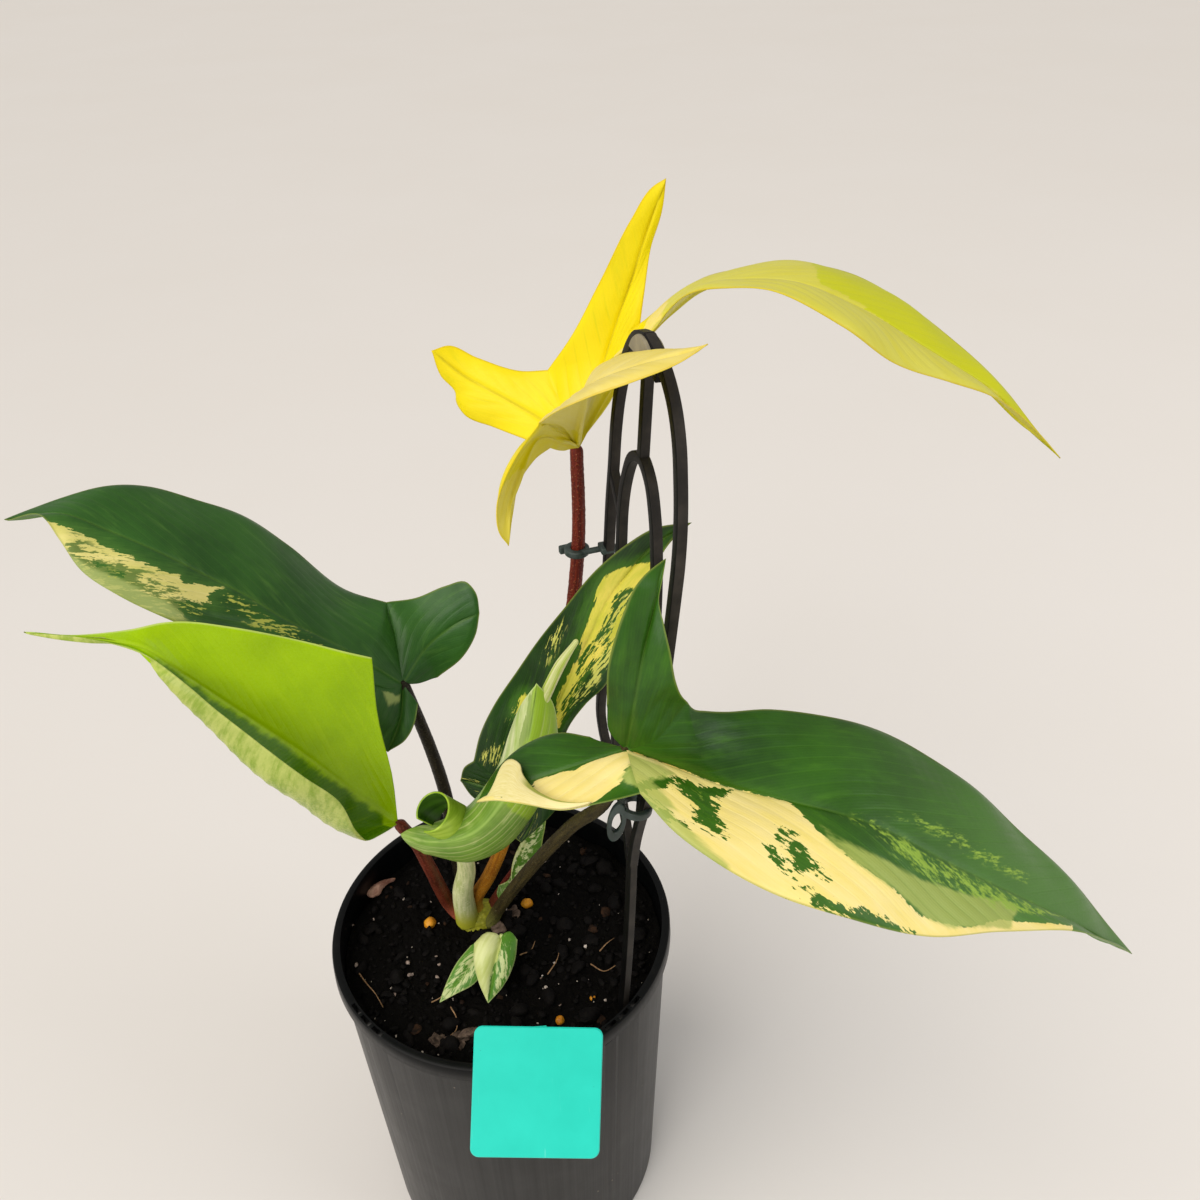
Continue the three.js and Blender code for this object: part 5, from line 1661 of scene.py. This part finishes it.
def stalk_skin(route, rough):
    """How far a stalk's skin stands out at a share of its length and an angle round it."""
    def skin(share, angle):
        spot = Vector((math.cos(angle), math.sin(angle), 0)) * 2 + route.at(share) * 0.9
        return rough * (noise.noise(spot * 1.4) + 0.5 * noise.noise(spot * 3.1))
    return skin


def stalk_radius(radii, length):
    """A stalk's radius at a share of its length, which narrows where it joins the blade."""
    low, high = radii

    def radius(share):
        narrowed = smooth((1 - share) * length, 0, 3)
        return (low + (high - low) * share) * (0.35 + 0.65 * float(narrowed))
    return radius


class PLANT_OT_stalks(bpy.types.Operator):
    """Adds the five leaf stalks, the new leaf's sheath and the crown that they grow from"""

    bl_idname = "plant.stalks"
    bl_label = "Stalks and crown"

    def execute(self, context):
        for name, stalk in {**STALKS, "sheath": SHEATH}.items():
            route = Route(stalk["route"])
            look = stalk_look(name, 0.2, 1.6, 0.7)
            skin = stalk_skin(route, look["relief"] * 0.16)
            radius = stalk_radius(stalk["radii"], route.length)
            rows = max(60, round(route.length / 0.7))
            piece = tube_object(name + "_stalk", route, radius, 32, rows, skin, (1.0, 0.25))
            finish_piece(piece, [stalk_material(name + "_skin", look)], name, name)
        deselect()
        bpy.ops.mesh.primitive_uv_sphere_add(segments=64, ring_count=40, radius=1)
        crown = context.object
        crown.name = "crown_stem"
        for vertex in crown.data.vertices:
            at = vertex.co.copy()
            swell = 1 + 0.05 * noise.noise(at * 2.2) + 0.03 * noise.noise(at * 6)
            ring = 0.025 * math.sin(at.z * 16)
            size = [r * (swell + ring) for r in CROWN_RADII]
            vertex.co = Vector(c + r * v for c, r, v in zip(CROWN_CENTRE, size, at)) * MM
        crown.data.uv_layers[0].name = "stalk"
        look = stalk_look("crown", -1.0, -0.5, 8.0)
        finish_piece(crown, [stalk_material("crown_skin", look)], "crown", "crown")
        return {"FINISHED"}


def wall_radius(z):
    """The pot's outer radius at a height, below its lip."""
    return POT_BODY_RADIUS - POT_TAPER * (LIP_BASE - z)


def pot_profile():
    """The pot's section as radius and height: up the outside, over the lip and down the inside."""
    foot, under_lip, floor = wall_radius(0), wall_radius(LIP_BASE), wall_radius(POT_FLOOR) - POT_WALL
    return [
        (0, 0.9), (30, 0.9), (30.6, 0), (foot - 1.4, 0), (foot - 0.4, 0.3), (foot, 1.4),
        (under_lip - 0.05, LIP_BASE - 0.5), (under_lip + 0.1, LIP_BASE - 0.1),
        (LIP_RADIUS + 0.05, LIP_BASE + 0.1), (LIP_RADIUS + 0.3, LIP_BASE + 0.5),
        (LIP_RADIUS + 0.1, POT_HEIGHT - 1.3), (LIP_RADIUS - 0.2, POT_HEIGHT - 0.4),
        (LIP_RADIUS - 0.8, POT_HEIGHT), (LIP_INNER_RADIUS + 0.6, POT_HEIGHT),
        (LIP_INNER_RADIUS + 0.15, POT_HEIGHT - 0.2), (LIP_INNER_RADIUS, POT_HEIGHT - 0.8),
        (LIP_INNER_RADIUS, LIP_BASE - 0.6), (under_lip - POT_WALL, LIP_BASE - 1.6),
        (floor, POT_FLOOR + 0.6), (floor - 0.7, POT_FLOOR), (0, POT_FLOOR),
    ]


class PLANT_OT_pot(bpy.types.Operator):
    """Adds the nursery pot, spun from its profile, with its drain holes and hanger slots"""

    bl_idname = "plant.pot"
    bl_label = "Pot"

    def execute(self, context):
        profile = pot_profile()
        edges = [(k, k + 1) for k in range(len(profile) - 1)]
        pot = mesh_object("pot_shell", [(r, 0, z) for r, z in profile], [], edges)
        only(pot)
        bpy.ops.object.mode_set(mode="EDIT")
        bpy.ops.mesh.select_all(action="SELECT")
        sides = context.scene.pot_settings.sides
        bpy.ops.mesh.spin(steps=sides, angle=2 * math.pi, center=(0, 0, 0), axis=(0, 0, 1))
        bpy.ops.mesh.select_all(action="SELECT")
        bpy.ops.mesh.remove_doubles(threshold=0.00001)
        bpy.ops.object.mode_set(mode="OBJECT")
        turn_outward(pot)
        cutters = []
        for k in range(DRAIN_HOLES):
            angle = 2 * math.pi * k / DRAIN_HOLES
            deselect()
            bpy.ops.mesh.primitive_cylinder_add(
                vertices=32, radius=DRAIN_RADIUS * MM, depth=8 * MM,
                location=(DRAIN_CIRCLE * MM * math.cos(angle), DRAIN_CIRCLE * MM * math.sin(angle), 0),
            )
            cutters.append(context.object)
        radius = (LIP_RADIUS + LIP_INNER_RADIUS) / 2
        for middle in HANGER_ANGLES:
            for place in (-1, 0, 1):
                angle = math.radians(middle) + place * HANGER_SLOT_PITCH / radius
                at = (radius * MM * math.cos(angle), radius * MM * math.sin(angle), POT_HEIGHT * MM)
                deselect()
                bpy.ops.mesh.primitive_cube_add(
                    size=1, location=at, rotation=(0, 0, angle - math.pi / 2),
                    scale=[c * MM for c in HANGER_SLOT],
                )
                cutters.append(context.object)
        cutter = join(cutters, "pot_cutters")
        apply_modifier(pot, "BOOLEAN", operation="DIFFERENCE", solver="EXACT", object=cutter)
        bpy.data.objects.remove(cutter)
        finish_piece(pot, [pot_material()], "pot", "pot", smooth_angle=35)
        return {"FINISHED"}


def ground(x, y):
    """The height of the potting mix's surface in millimetres: low swells under coarse crumbs."""
    swell = math.sin(x / 5.1 + 1) * math.cos(y / 6.3) + 0.5 * math.sin(x / 2.9 - y / 3.7)
    at = Vector((x, y, 0))
    coarse, fine = (noise.voronoi(at * pitch)[0] for pitch in (0.28, 0.75))
    crumbs = 1.9 * (coarse[1] - coarse[0]) + 0.8 * (fine[1] - fine[0])
    crumbs += 0.7 * noise.fractal(at * 0.6, 0.7, 2.2, 4)
    return SOIL_LEVEL + SOIL_ROUGHNESS * swell - CRUMB_DEPTH + crumbs


def circle(radius, ring):
    """Points round the potting mix, turned by half a step on every other ring."""
    for k in range(SOIL_SIDES):
        angle = 2 * math.pi * (k + 0.5 * (ring % 2)) / SOIL_SIDES
        yield radius * math.cos(angle), radius * math.sin(angle)


class PLANT_OT_soil(bpy.types.Operator):
    """Adds the potting mix that fills the pot"""

    bl_idname = "plant.soil"
    bl_label = "Potting mix"

    def execute(self, context):
        top_radius = min(wall_radius(SOIL_LEVEL) - POT_WALL, LIP_INNER_RADIUS) - SOIL_CLEARANCE
        rings, sides = round(top_radius / SOIL_STEP), SOIL_SIDES
        points, faces = [(0, 0, ground(0, 0))], []
        for i in range(1, rings + 1):
            points += [(x, y, ground(x, y)) for x, y in circle(top_radius * i / rings, i)]
        faces += [[0, 1 + k, 1 + (k + 1) % sides] for k in range(sides)]
        for i in range(1, rings):
            for k in range(sides):
                a, b = 1 + (i - 1) * sides + k, 1 + (i - 1) * sides + (k + 1) % sides
                faces.append([a, a + sides, b + sides, b])
        edge = 1 + (rings - 1) * sides
        foot_radius = wall_radius(POT_FLOOR) - POT_WALL - SOIL_FOOT_INSET
        foot, brim = POT_FLOOR + SOIL_FOOT_LIFT, SOIL_LEVEL - SOIL_EDGE_DEPTH
        for r, z in ((top_radius, brim), (foot_radius, foot)):
            low = len(points)
            points += [(x, y, z) for x, y in circle(r, rings)]
            for k in range(sides):
                ahead = (k + 1) % sides
                faces.append([edge + k, low + k, low + ahead, edge + ahead])
            edge = low
        faces.append([edge + k for k in range(sides)][::-1])
        piece = mesh_object("soil_fill", points, faces)
        finish_piece(piece, [soil_material()], "soil", "soil")
        return {"FINISHED"}


# Loose bits with places of their own on the potting mix, the prills and lumps with their sizes too:
# fertiliser prills, the outline of a bark flake, pale bits, lumps of bark, and rootlets
PRILLS = [(-29.9, 7.8, 2.6), (8.4, 17.8, 2.4), (34.4, -28.4, 1.2), (22.2, -36.9, 1.9), (37.6, -43.8, 1.4)]
FLAKE = [
    (-58.1, 24.4), (-55.3, 28.4), (-51.9, 30.8), (-46.6, 31.6), (-50.8, 27.6), (-52.4, 23.6), (-55.6, 22.2)
]
PALE_BITS = [
    (-36.6, -10.2), (-34.6, -14.4), (-35.6, -15.2), (-26.1, -6.9), (-24.6, -10.7), (-24.7, -17.1),
    (-40.3, -23.6), (-56.6, -10.2), (15, -19.2), (17.8, -28.2), (22.3, -30.9), (-61, 9.1), (-53.3, 12.3),
]
LUMPS = [(-2.6, 4.6, 3.2), (-16, -44.6, 3.6), (-10.6, -42.4, 3.4), (-22.8, -43.8, 2.6), (3, 13.6, 2.6)]
ROOTLETS = [
    [(-18.1, -31.5), (-15.8, -35.4), (-15.6, -39.6), (-18.2, -43.3)],
    [(-25.5, -28.2), (-22.7, -26.6), (-20.7, -24)],
    [(-54.9, -14.1), (-50.6, -20.6), (-46.8, -25), (-43.6, -29.6)],
    [(6.6, -8.2), (10.7, -5.6), (12.2, -1.3)],
    [(37.6, -8.1), (40.4, -5.2), (43.2, -2.1)],
    [(17.6, -17.9), (20.8, -12.1), (22.1, -6.5)],
    [(34, -14), (39, -16.4), (44, -14.6)],
]


# No loose bit is scattered nearer to the crown's middle than this
CROWN_CLEARANCE = 9


def scattered(count, generator, reach):
    """Seeded places over the potting mix, clear of the crown."""
    spots = []
    while len(spots) < count:
        r, angle = reach * math.sqrt(generator.random()), 2 * math.pi * generator.random()
        x, y = r * math.cos(angle), r * math.sin(angle)
        if math.hypot(x - CROWN_CENTRE[0], y - CROWN_CENTRE[1]) > CROWN_CLEARANCE:
            spots.append((x, y))
    return spots


def ball_mesh(level):
    """A ball of triangles as points and faces, in its own unit size."""
    bpy.ops.mesh.primitive_ico_sphere_add(subdivisions=level, radius=1)
    ball = bpy.context.object
    points = [v.co.copy() for v in ball.data.vertices]
    faces = [list(p.vertices) for p in ball.data.polygons]
    bpy.data.objects.remove(ball)
    return points, faces


def strew(name, spots, sizes, material, generator, level=1, sink=0.2, flat=1.0, knobby=0.45):
    """Lumps of uneven shape over the potting mix, as one object. A spot may name its own size."""
    base, base_faces = ball_mesh(level)
    draw = generator.random
    points, faces = [], []
    for x, y, *own in spots:
        size = sizes[0] + (sizes[1] - sizes[0]) * draw() ** 2
        scale = Vector((size, size * (0.5 + 0.5 * draw()), size * flat * (0.4 + 0.4 * draw())))
        if own:
            scale = Vector((own[0], own[0] * 0.9, own[0] * flat))
        tilt = Matrix.Rotation(6.3 * draw(), 3, "Z") @ Matrix.Rotation((draw() - 0.5) * 1.2, 3, "X")
        shift = Vector((x, y, ground(x, y) + scale.z * (1 - 2 * sink)))
        offset = Vector((draw(), draw(), draw())) * 50
        start = len(points)
        for p in base:
            rough = 1 + knobby * noise.noise(p * 1.3 + offset)
            points.append(tilt @ Vector(a * b * rough for a, b in zip(p, scale)) + shift)
        faces += [[start + k for k in face] for face in base_faces]
    piece = mesh_object(name, points, faces)
    return finish_piece(piece, [material], "soil", smooth_angle=50)


FLAKE_STEPS = 48
FLAKE_RINGS = 6
FLAKE_THICKNESS = 0.7
FLAKE_RISE = 1.6
FLAKE_CLEARANCE = 2.2


def bark_flake():
    """A curved, pointed flake of bark that lies on the potting mix, as a thin domed sheet."""
    centre = Vector((sum(x for x, _ in FLAKE), sum(y for _, y in FLAKE))) / len(FLAKE)
    rim = Curve([(x, y, 0) for x, y in (*FLAKE, FLAKE[0])])
    steps, floor = FLAKE_STEPS, ground(*centre) + FLAKE_CLEARANCE
    points, faces = [], []
    for thickness in (0.0, FLAKE_THICKNESS):
        for ring in range(FLAKE_RINGS + 1):
            share = ring / FLAKE_RINGS
            height = floor - thickness + FLAKE_RISE * (1 - share * share)
            for k in range(steps):
                x, y = centre.lerp(rim.at(k / steps).to_2d(), max(share, 0.02))
                points.append((x, y, height + 0.4 * noise.noise(Vector((x, y, 0)))))
    wide = steps * (FLAKE_RINGS + 1)
    for a, b, c, d in ring_faces(FLAKE_RINGS + 1, steps):
        faces += [[a, b, c, d], [wide + a, wide + d, wide + c, wide + b]]
    for k in range(steps):
        a, b = FLAKE_RINGS * steps + k, FLAKE_RINGS * steps + (k + 1) % steps
        faces.append([a, b, wide + b, wide + a])
    faces += [list(range(steps))[::-1], [wide + k for k in range(steps)]]
    return turn_outward(mesh_object("bark_flake", points, faces))


class PLANT_OT_litter(bpy.types.Operator):
    """Adds what lies loose on the potting mix: bark, crumbs, perlite, prills and rootlets"""

    bl_idname = "plant.litter"
    bl_label = "Loose bits"

    def execute(self, context):
        pot = context.scene.pot_settings
        draw = random.Random(pot.seed)
        dark = grain_material("bark_dark", "#030202", "#0f0b09", 0.7, shine=0.12)
        brown = grain_material("bark_brown", "#140d09", "#3a2618", 0.7, shine=0.12)
        white = grain_material("perlite", "#8f8177", "#d8cbc0", 0.75, 700.0, 0.8)
        strew("bark_chips", scattered(pot.grains // 6, draw, 56), (1.6, 4.2), dark, draw, 2, 0.3)
        strew("crumbs", scattered(pot.grains, draw, 58.5), (0.5, 1.5), dark, draw)
        strew("brown_chips", scattered(pot.grains // 30, draw, 56), (1.0, 2.6), brown, draw, 2, 0.25, 0.6)
        strew("perlite_bits", scattered(pot.grains // 12, draw, 58), (0.25, 0.8), white, draw)
        orange = grain_material("prill", "#b86c08", "#e8a228", 0.35, 300.0, 0.2)
        strew("prills", PRILLS, (1, 1), orange, draw, 3, 0.15, 0.85, 0.16)
        pale = grain_material("pale_bits", "#6e5a50", "#b9a79c", 0.75, 600.0, 0.8)
        strew("pale_bits", PALE_BITS, (0.5, 1.1), pale, draw, 2, 0.15)
        lump = grain_material("bark_lump", "#2a201a", "#7a675a", 0.75, 260.0, 0.9, shine=0.12)
        strew("bark_lumps", LUMPS, (2, 3), lump, draw, 3, 0.25, 0.55, 0.7)
        root = grain_material("rootlet", "#6b4d33", "#a98560", 0.6, 500.0, 0.4)
        threads = []
        for k, line in enumerate(ROOTLETS):
            route = Route([(x, y, ground(x, y) + 1.5) for x, y in line])
            threads.append(tube_object(f"rootlet_{k}", route, lambda t: 0.28 - 0.16 * t, 8, 40))
        finish_piece(join(threads, "rootlets"), [root], "soil", smooth_angle=50)
        flake = grain_material("bark_flake", "#7c5142", "#c19a85", 0.6, 150.0, 0.5)
        finish_piece(bark_flake(), [flake], "soil", smooth_angle=40)
        return {"FINISHED"}


class PLANT_OT_trellis(bpy.types.Operator):
    """Adds the arched trellis: flat moulded bars, a stake and a half-round knob"""

    bl_idname = "plant.trellis"
    bl_label = "Trellis"

    def execute(self, context):
        flank = plastic_material("trellis_flank", "#040404", "#0c0c0c", 0.4, 0.14)
        # The narrow edge faces of the bars get a lighter copy of the black plastic: painted light where they
        # catch the lamps.
        front = plastic_material("trellis_edge_painted_light", "#221f1c", "#37322d", 0.45, 0.2)
        # The knob gets a beige copy of the plastic: painted light and reflection.
        knob_painted_light = plastic_material("trellis_knob_painted_light", "#7d7460", "#a1967a", 0.4)
        parts = [
            moulded_bar(points, TRELLIS_BAR, TRELLIS_THICKNESS - BAR_STEP * k)
            for k, points in enumerate((NEAR_BAR, FAR_BAR, ARCH, CENTRE_BAR, FAR_LINK))
        ]
        parts.append(moulded_bar(STAKE, STAKE_WIDTH, TRELLIS_THICKNESS - STAKE_THINNER, 60))
        outline = [
            (KNOB_RADIUS * math.cos(a), KNOB_HEIGHT + KNOB_RADIUS * math.sin(a))
            for a in (KNOB_CUT + (math.pi - 2 * KNOB_CUT) * k / 40 for k in range(41))
        ]
        knob = moulded_plate(outline, TRELLIS_THICKNESS + KNOB_EXTRA_THICKNESS, trellis_place())
        nub = moulded_bar(NUB, *NUB_SIZE)
        through = trellis_place().to_3x3().col[2]
        # Broad faces and the nub keep the plain black; the other faces take the lighter copies, which paint
        # light.
        for part in (*parts, knob, nub):
            part.data.materials.append(flank)
            part.data.materials.append(knob_painted_light if part == knob else front)
            for polygon in part.data.polygons:
                flat = part != knob and abs(polygon.normal.dot(through)) > 0.6
                polygon.material_index = 0 if flat or part == nub else 1
        piece = join([*parts, knob, nub], "trellis_frame")
        finish_piece(piece, [], "trellis", "trellis", smooth_angle=40)
        return {"FINISHED"}


def trellis_place():
    """The moulding's own plane as a matrix: across, up and through."""
    up = (Vector(TRELLIS_TOP) - Vector(TRELLIS_FOOT)).normalized()
    turn = math.radians(TRELLIS_TURN)
    across = Vector((math.sin(turn), -math.cos(turn), 0))
    across = (across - up * across.dot(up)).normalized()
    through = across.cross(up)
    matrix = Matrix((across, up, through)).transposed().to_4x4()
    matrix.translation = Vector(TRELLIS_FOOT)
    return matrix


def hoop(centre, inner, outer, height, stretch, tilt):
    """A ring of rounded section, level before it is stretched along Y and tilted."""
    turn = Matrix.Rotation(math.radians(tilt[1]), 3, "Y") @ Matrix.Rotation(math.radians(tilt[0]), 3, "X")
    section, sides = rounded_rectangle(outer - inner, height, 0.45), 72
    points = []
    for i in range(sides):
        angle = 2 * math.pi * i / sides
        for out, up in section:
            r = (inner + outer) / 2 + out
            flat = Vector((r * math.cos(angle), r * math.sin(angle) * stretch, up))
            points.append(turn @ flat + Vector(centre))
    return mesh_object("hoop", points, ring_faces(sides, len(section), closed=True))


def rounded_block(size, centre, turn, rounding):
    """A block with rounded edges, turned about Z."""
    deselect()
    bpy.ops.mesh.primitive_cube_add(
        size=1, location=[c * MM for c in centre], rotation=(0, 0, math.radians(turn)),
        scale=[c * MM for c in size],
    )
    return apply_modifier(settle(bpy.context.object), "BEVEL", width=rounding * MM, segments=3)


def stacked(name, rings):
    """A closed solid through rings of the same number of points."""
    count = len(rings[0])
    faces = ring_faces(len(rings), count) + end_faces(len(rings), count)
    return mesh_object(name, [p for ring in rings for p in ring], faces)


def moulded_bar(points, width, depth, steps=0):
    """A bar with rounded edges along a curve in the moulding's plane."""
    route = Curve([(s, h, 0) for s, h in points])
    steps = steps or max(24, round(route.length / 2))
    section, place = rounded_rectangle(width, depth, 0.3), trellis_place()
    rings = []
    for i in range(steps + 1):
        centre = route.at(i / steps)
        forward = route.forward(i / steps, 0.1 / steps)
        side = Vector((forward.y, -forward.x, 0))
        rings.append([place @ (centre + side * a + Vector((0, 0, b))) for a, b in section])
    return stacked("bar", rings)


# How far the edges of a flat plate are bevelled
PLATE_BEVEL = 0.45


def moulded_plate(outline, depth, place):
    """A flat plate with bevelled edges, put in its place by a matrix."""
    corners = [Vector((x, y, 0)) for x, y in outline]
    centre = sum(corners, Vector()) / len(corners)
    half, bevel = depth / 2, PLATE_BEVEL
    rings = []
    for z, inset in ((-half, bevel), (-half + bevel, 0), (half - bevel, 0), (half, bevel)):
        level = [at + (centre - at).normalized() * inset + Vector((0, 0, z)) for at in corners]
        rings.append([place @ at for at in level])
    return stacked("plate", rings)


class PLANT_OT_clips(bpy.types.Operator):
    """Adds the two clips: rings with rounded edges, a tab, an arm, a sleeve and a finger loop"""

    bl_idname = "plant.clips"
    bl_label = "Clips"

    def execute(self, context):
        plastic = [plastic_material("clip_plastic", "#1c2723", "#3a4844", 0.4)]
        upper = [
            hoop(*UPPER_RING), rounded_block(*UPPER_TAB, CLIP_ROUNDING),
            rounded_block(*UPPER_SLEEVE, CLIP_ROUNDING),
            tube_object("arm", Route(UPPER_ARM), lambda share: UPPER_ARM_RADIUS, 20, 24),
        ]
        finish_piece(join(upper, "clip_upper_shape"), plastic, "clip_upper", "clip_upper", smooth_angle=40)
        lower = [hoop(*LOWER_COLLAR), hoop(*LOWER_LOOP)]
        finish_piece(join(lower, "clip_lower_shape"), plastic, "clip_lower", "clip_lower", smooth_angle=40)
        return {"FINISHED"}


class PLANT_OT_label(bpy.types.Operator):
    """Adds the blank plant label and the spike that holds it"""

    bl_idname = "plant.label"
    bl_label = "Plant label"

    def execute(self, context):
        outline = rounded_rectangle(LABEL_SIZE, LABEL_SIZE, LABEL_CORNER, 9)
        turn = (
            Matrix.Translation(LABEL_CENTRE)
            @ Matrix.Rotation(math.radians(LABEL_TURN), 4, "Z")
            @ Matrix.Rotation(math.radians(90 - LABEL_LEAN), 4, "X")
            @ Matrix.Rotation(math.radians(LABEL_ROLL), 4, "Z")
            @ Matrix.Translation((0, 0, LABEL_THICKNESS / 2))
        )
        spike = [*SPIKE_TOP[:2], SPIKE_TOP[2] - SPIKE_LENGTH / 2]
        parts = [
            moulded_plate(outline, LABEL_THICKNESS, turn),
            rounded_block([SPIKE_WIDTH, SPIKE_THICKNESS, SPIKE_LENGTH], spike, LABEL_TURN, SPIKE_ROUNDING),
            rounded_block(SPIKE_ROOT, SPIKE_ROOT_CENTRE, LABEL_TURN, SPIKE_ROUNDING),
        ]
        finish_piece(join(parts, "label_tag"), [label_material()], "label", "label", smooth_angle=40)
        return {"FINISHED"}


# Camera, in millimetres and degrees: its place, how far it looks down and leans, and its lens
CAMERA_AT = [42.2, -296.4, 504.6]
CAMERA_PITCH = 34.76
CAMERA_ROLL = -1.94
CAMERA_LENS = 34.5
CAMERA_FRAME = 36

# Stage, in metres: the floor, the point that the lights look at, and each light's name, kind, place,
# size (the sun's is an angle), power (the sun's comes from the settings) and colour
FLOOR_RADIUS = 9
FLOOR_LEVEL = -0.0002
LIT_POINT = (0.03, -0.03, 0.25)
LIGHTS = (
    ("key", "SUN", (-0.9, -0.8, 1.7), 1.0, None, "#fff9f0"),
    ("side", "AREA", (1.5, -0.5, 1.0), 0.9, 6.0, "#f6f9ff"),
    ("front", "AREA", (-0.7, -1.5, 1.0), 0.8, 7.0, "#ffffff"),
)


def add_light(name, kind, at, size, power, colour):
    """A light of one kind that looks at the plant."""
    light = bpy.data.lights.new(name, kind)
    setattr(light, "angle" if kind == "SUN" else "size", size)
    light.energy = power
    light.color = hue(colour)[:3]
    lamp = bpy.data.objects.new(name, light)
    lamp.location = at
    lamp.rotation_euler = (Vector(LIT_POINT) - Vector(at)).to_track_quat("-Z", "Y").to_euler()
    bpy.context.scene.collection.objects.link(lamp)


def add_camera(scene):
    """The camera, made the scene's own."""
    pitch, roll = math.radians(CAMERA_PITCH), math.radians(CAMERA_ROLL)
    forward = Vector((0, math.cos(pitch), -math.sin(pitch)))
    right = Vector((1, 0, 0))
    up = right.cross(forward)
    turned = right * math.cos(roll) + up * math.sin(roll)
    upright = up * math.cos(roll) - right * math.sin(roll)
    matrix = Matrix((turned, upright, -forward)).transposed().to_4x4()
    matrix.translation = Vector(CAMERA_AT) * MM
    camera = bpy.data.objects.new("camera", bpy.data.cameras.new("camera"))
    camera.data.lens = CAMERA_LENS
    camera.data.sensor_width = CAMERA_FRAME
    camera.data.clip_start = 0.01
    camera.matrix_world = matrix
    scene.collection.objects.link(camera)
    scene.camera = camera


class PLANT_OT_stage(bpy.types.Operator):
    """Adds the pale floor, the soft studio light and the camera"""

    bl_idname = "plant.stage"
    bl_label = "Floor, light and camera"

    def execute(self, context):
        scene, stage = context.scene, context.scene.stage_settings
        deselect()
        bpy.ops.mesh.primitive_circle_add(
            vertices=96, radius=FLOOR_RADIUS, fill_type="NGON", location=(0, 0, FLOOR_LEVEL)
        )
        floor = settle(context.object)
        floor.name = "floor"
        s = Shader("floor_paint")
        color = s.mix(s.noise(s.object(), 3.0, 4.0, 0.6), stage.floor, "#e4dfda")
        floor.data.materials.append(s.finish(color, 0.8))
        scene.world = bpy.data.worlds.new("studio")
        scene.world.use_nodes = True
        background = scene.world.node_tree.nodes["Background"]
        background.inputs[0].default_value = hue("#f4f2ee")
        background.inputs[1].default_value = stage.sky
        for name, kind, at, size, power, colour in LIGHTS:
            add_light(name, kind, at, size, stage.light if power is None else power, colour)
        add_camera(scene)
        scene.view_settings.view_transform = "Standard"
        return {"FINISHED"}


STEPS = (
    PLANT_OT_stage, PLANT_OT_pot, PLANT_OT_soil, PLANT_OT_litter, PLANT_OT_stalks, PLANT_OT_leaves,
    PLANT_OT_small_leaves, PLANT_OT_trellis, PLANT_OT_clips, PLANT_OT_label,
)


class PLANT_PT_panel(bpy.types.Panel):
    """Lists the plant's settings and steps"""

    bl_idname = "PLANT_PT_panel"
    bl_label = "Potted philodendron"
    bl_space_type = "VIEW_3D"
    bl_region_type = "UI"
    bl_category = "Plant"

    def draw(self, context):
        layout = self.layout
        for group in ("plant_settings", "pot_settings", "stage_settings"):
            settings = getattr(context.scene, group)
            box = layout.box()
            for name in settings.__annotations__:
                box.prop(settings, name)
        for step in STEPS:
            layout.operator(step.bl_idname)


GROUPS = {"plant_settings": PlantSettings, "pot_settings": PotSettings, "stage_settings": StageSettings}


def register():
    for kind in (*GROUPS.values(), *STEPS, PLANT_PT_panel):
        bpy.utils.register_class(kind)
    for name, kind in GROUPS.items():
        setattr(bpy.types.Scene, name, bpy.props.PointerProperty(type=kind))


def unregister():
    for name in GROUPS:
        delattr(bpy.types.Scene, name)
    for kind in reversed((*GROUPS.values(), *STEPS, PLANT_PT_panel)):
        bpy.utils.unregister_class(kind)


def main():
    register()
    for step in STEPS:
        group, name = step.bl_idname.split(".")
        getattr(getattr(bpy.ops, group), name)()


if __name__ == "__main__":
    main()
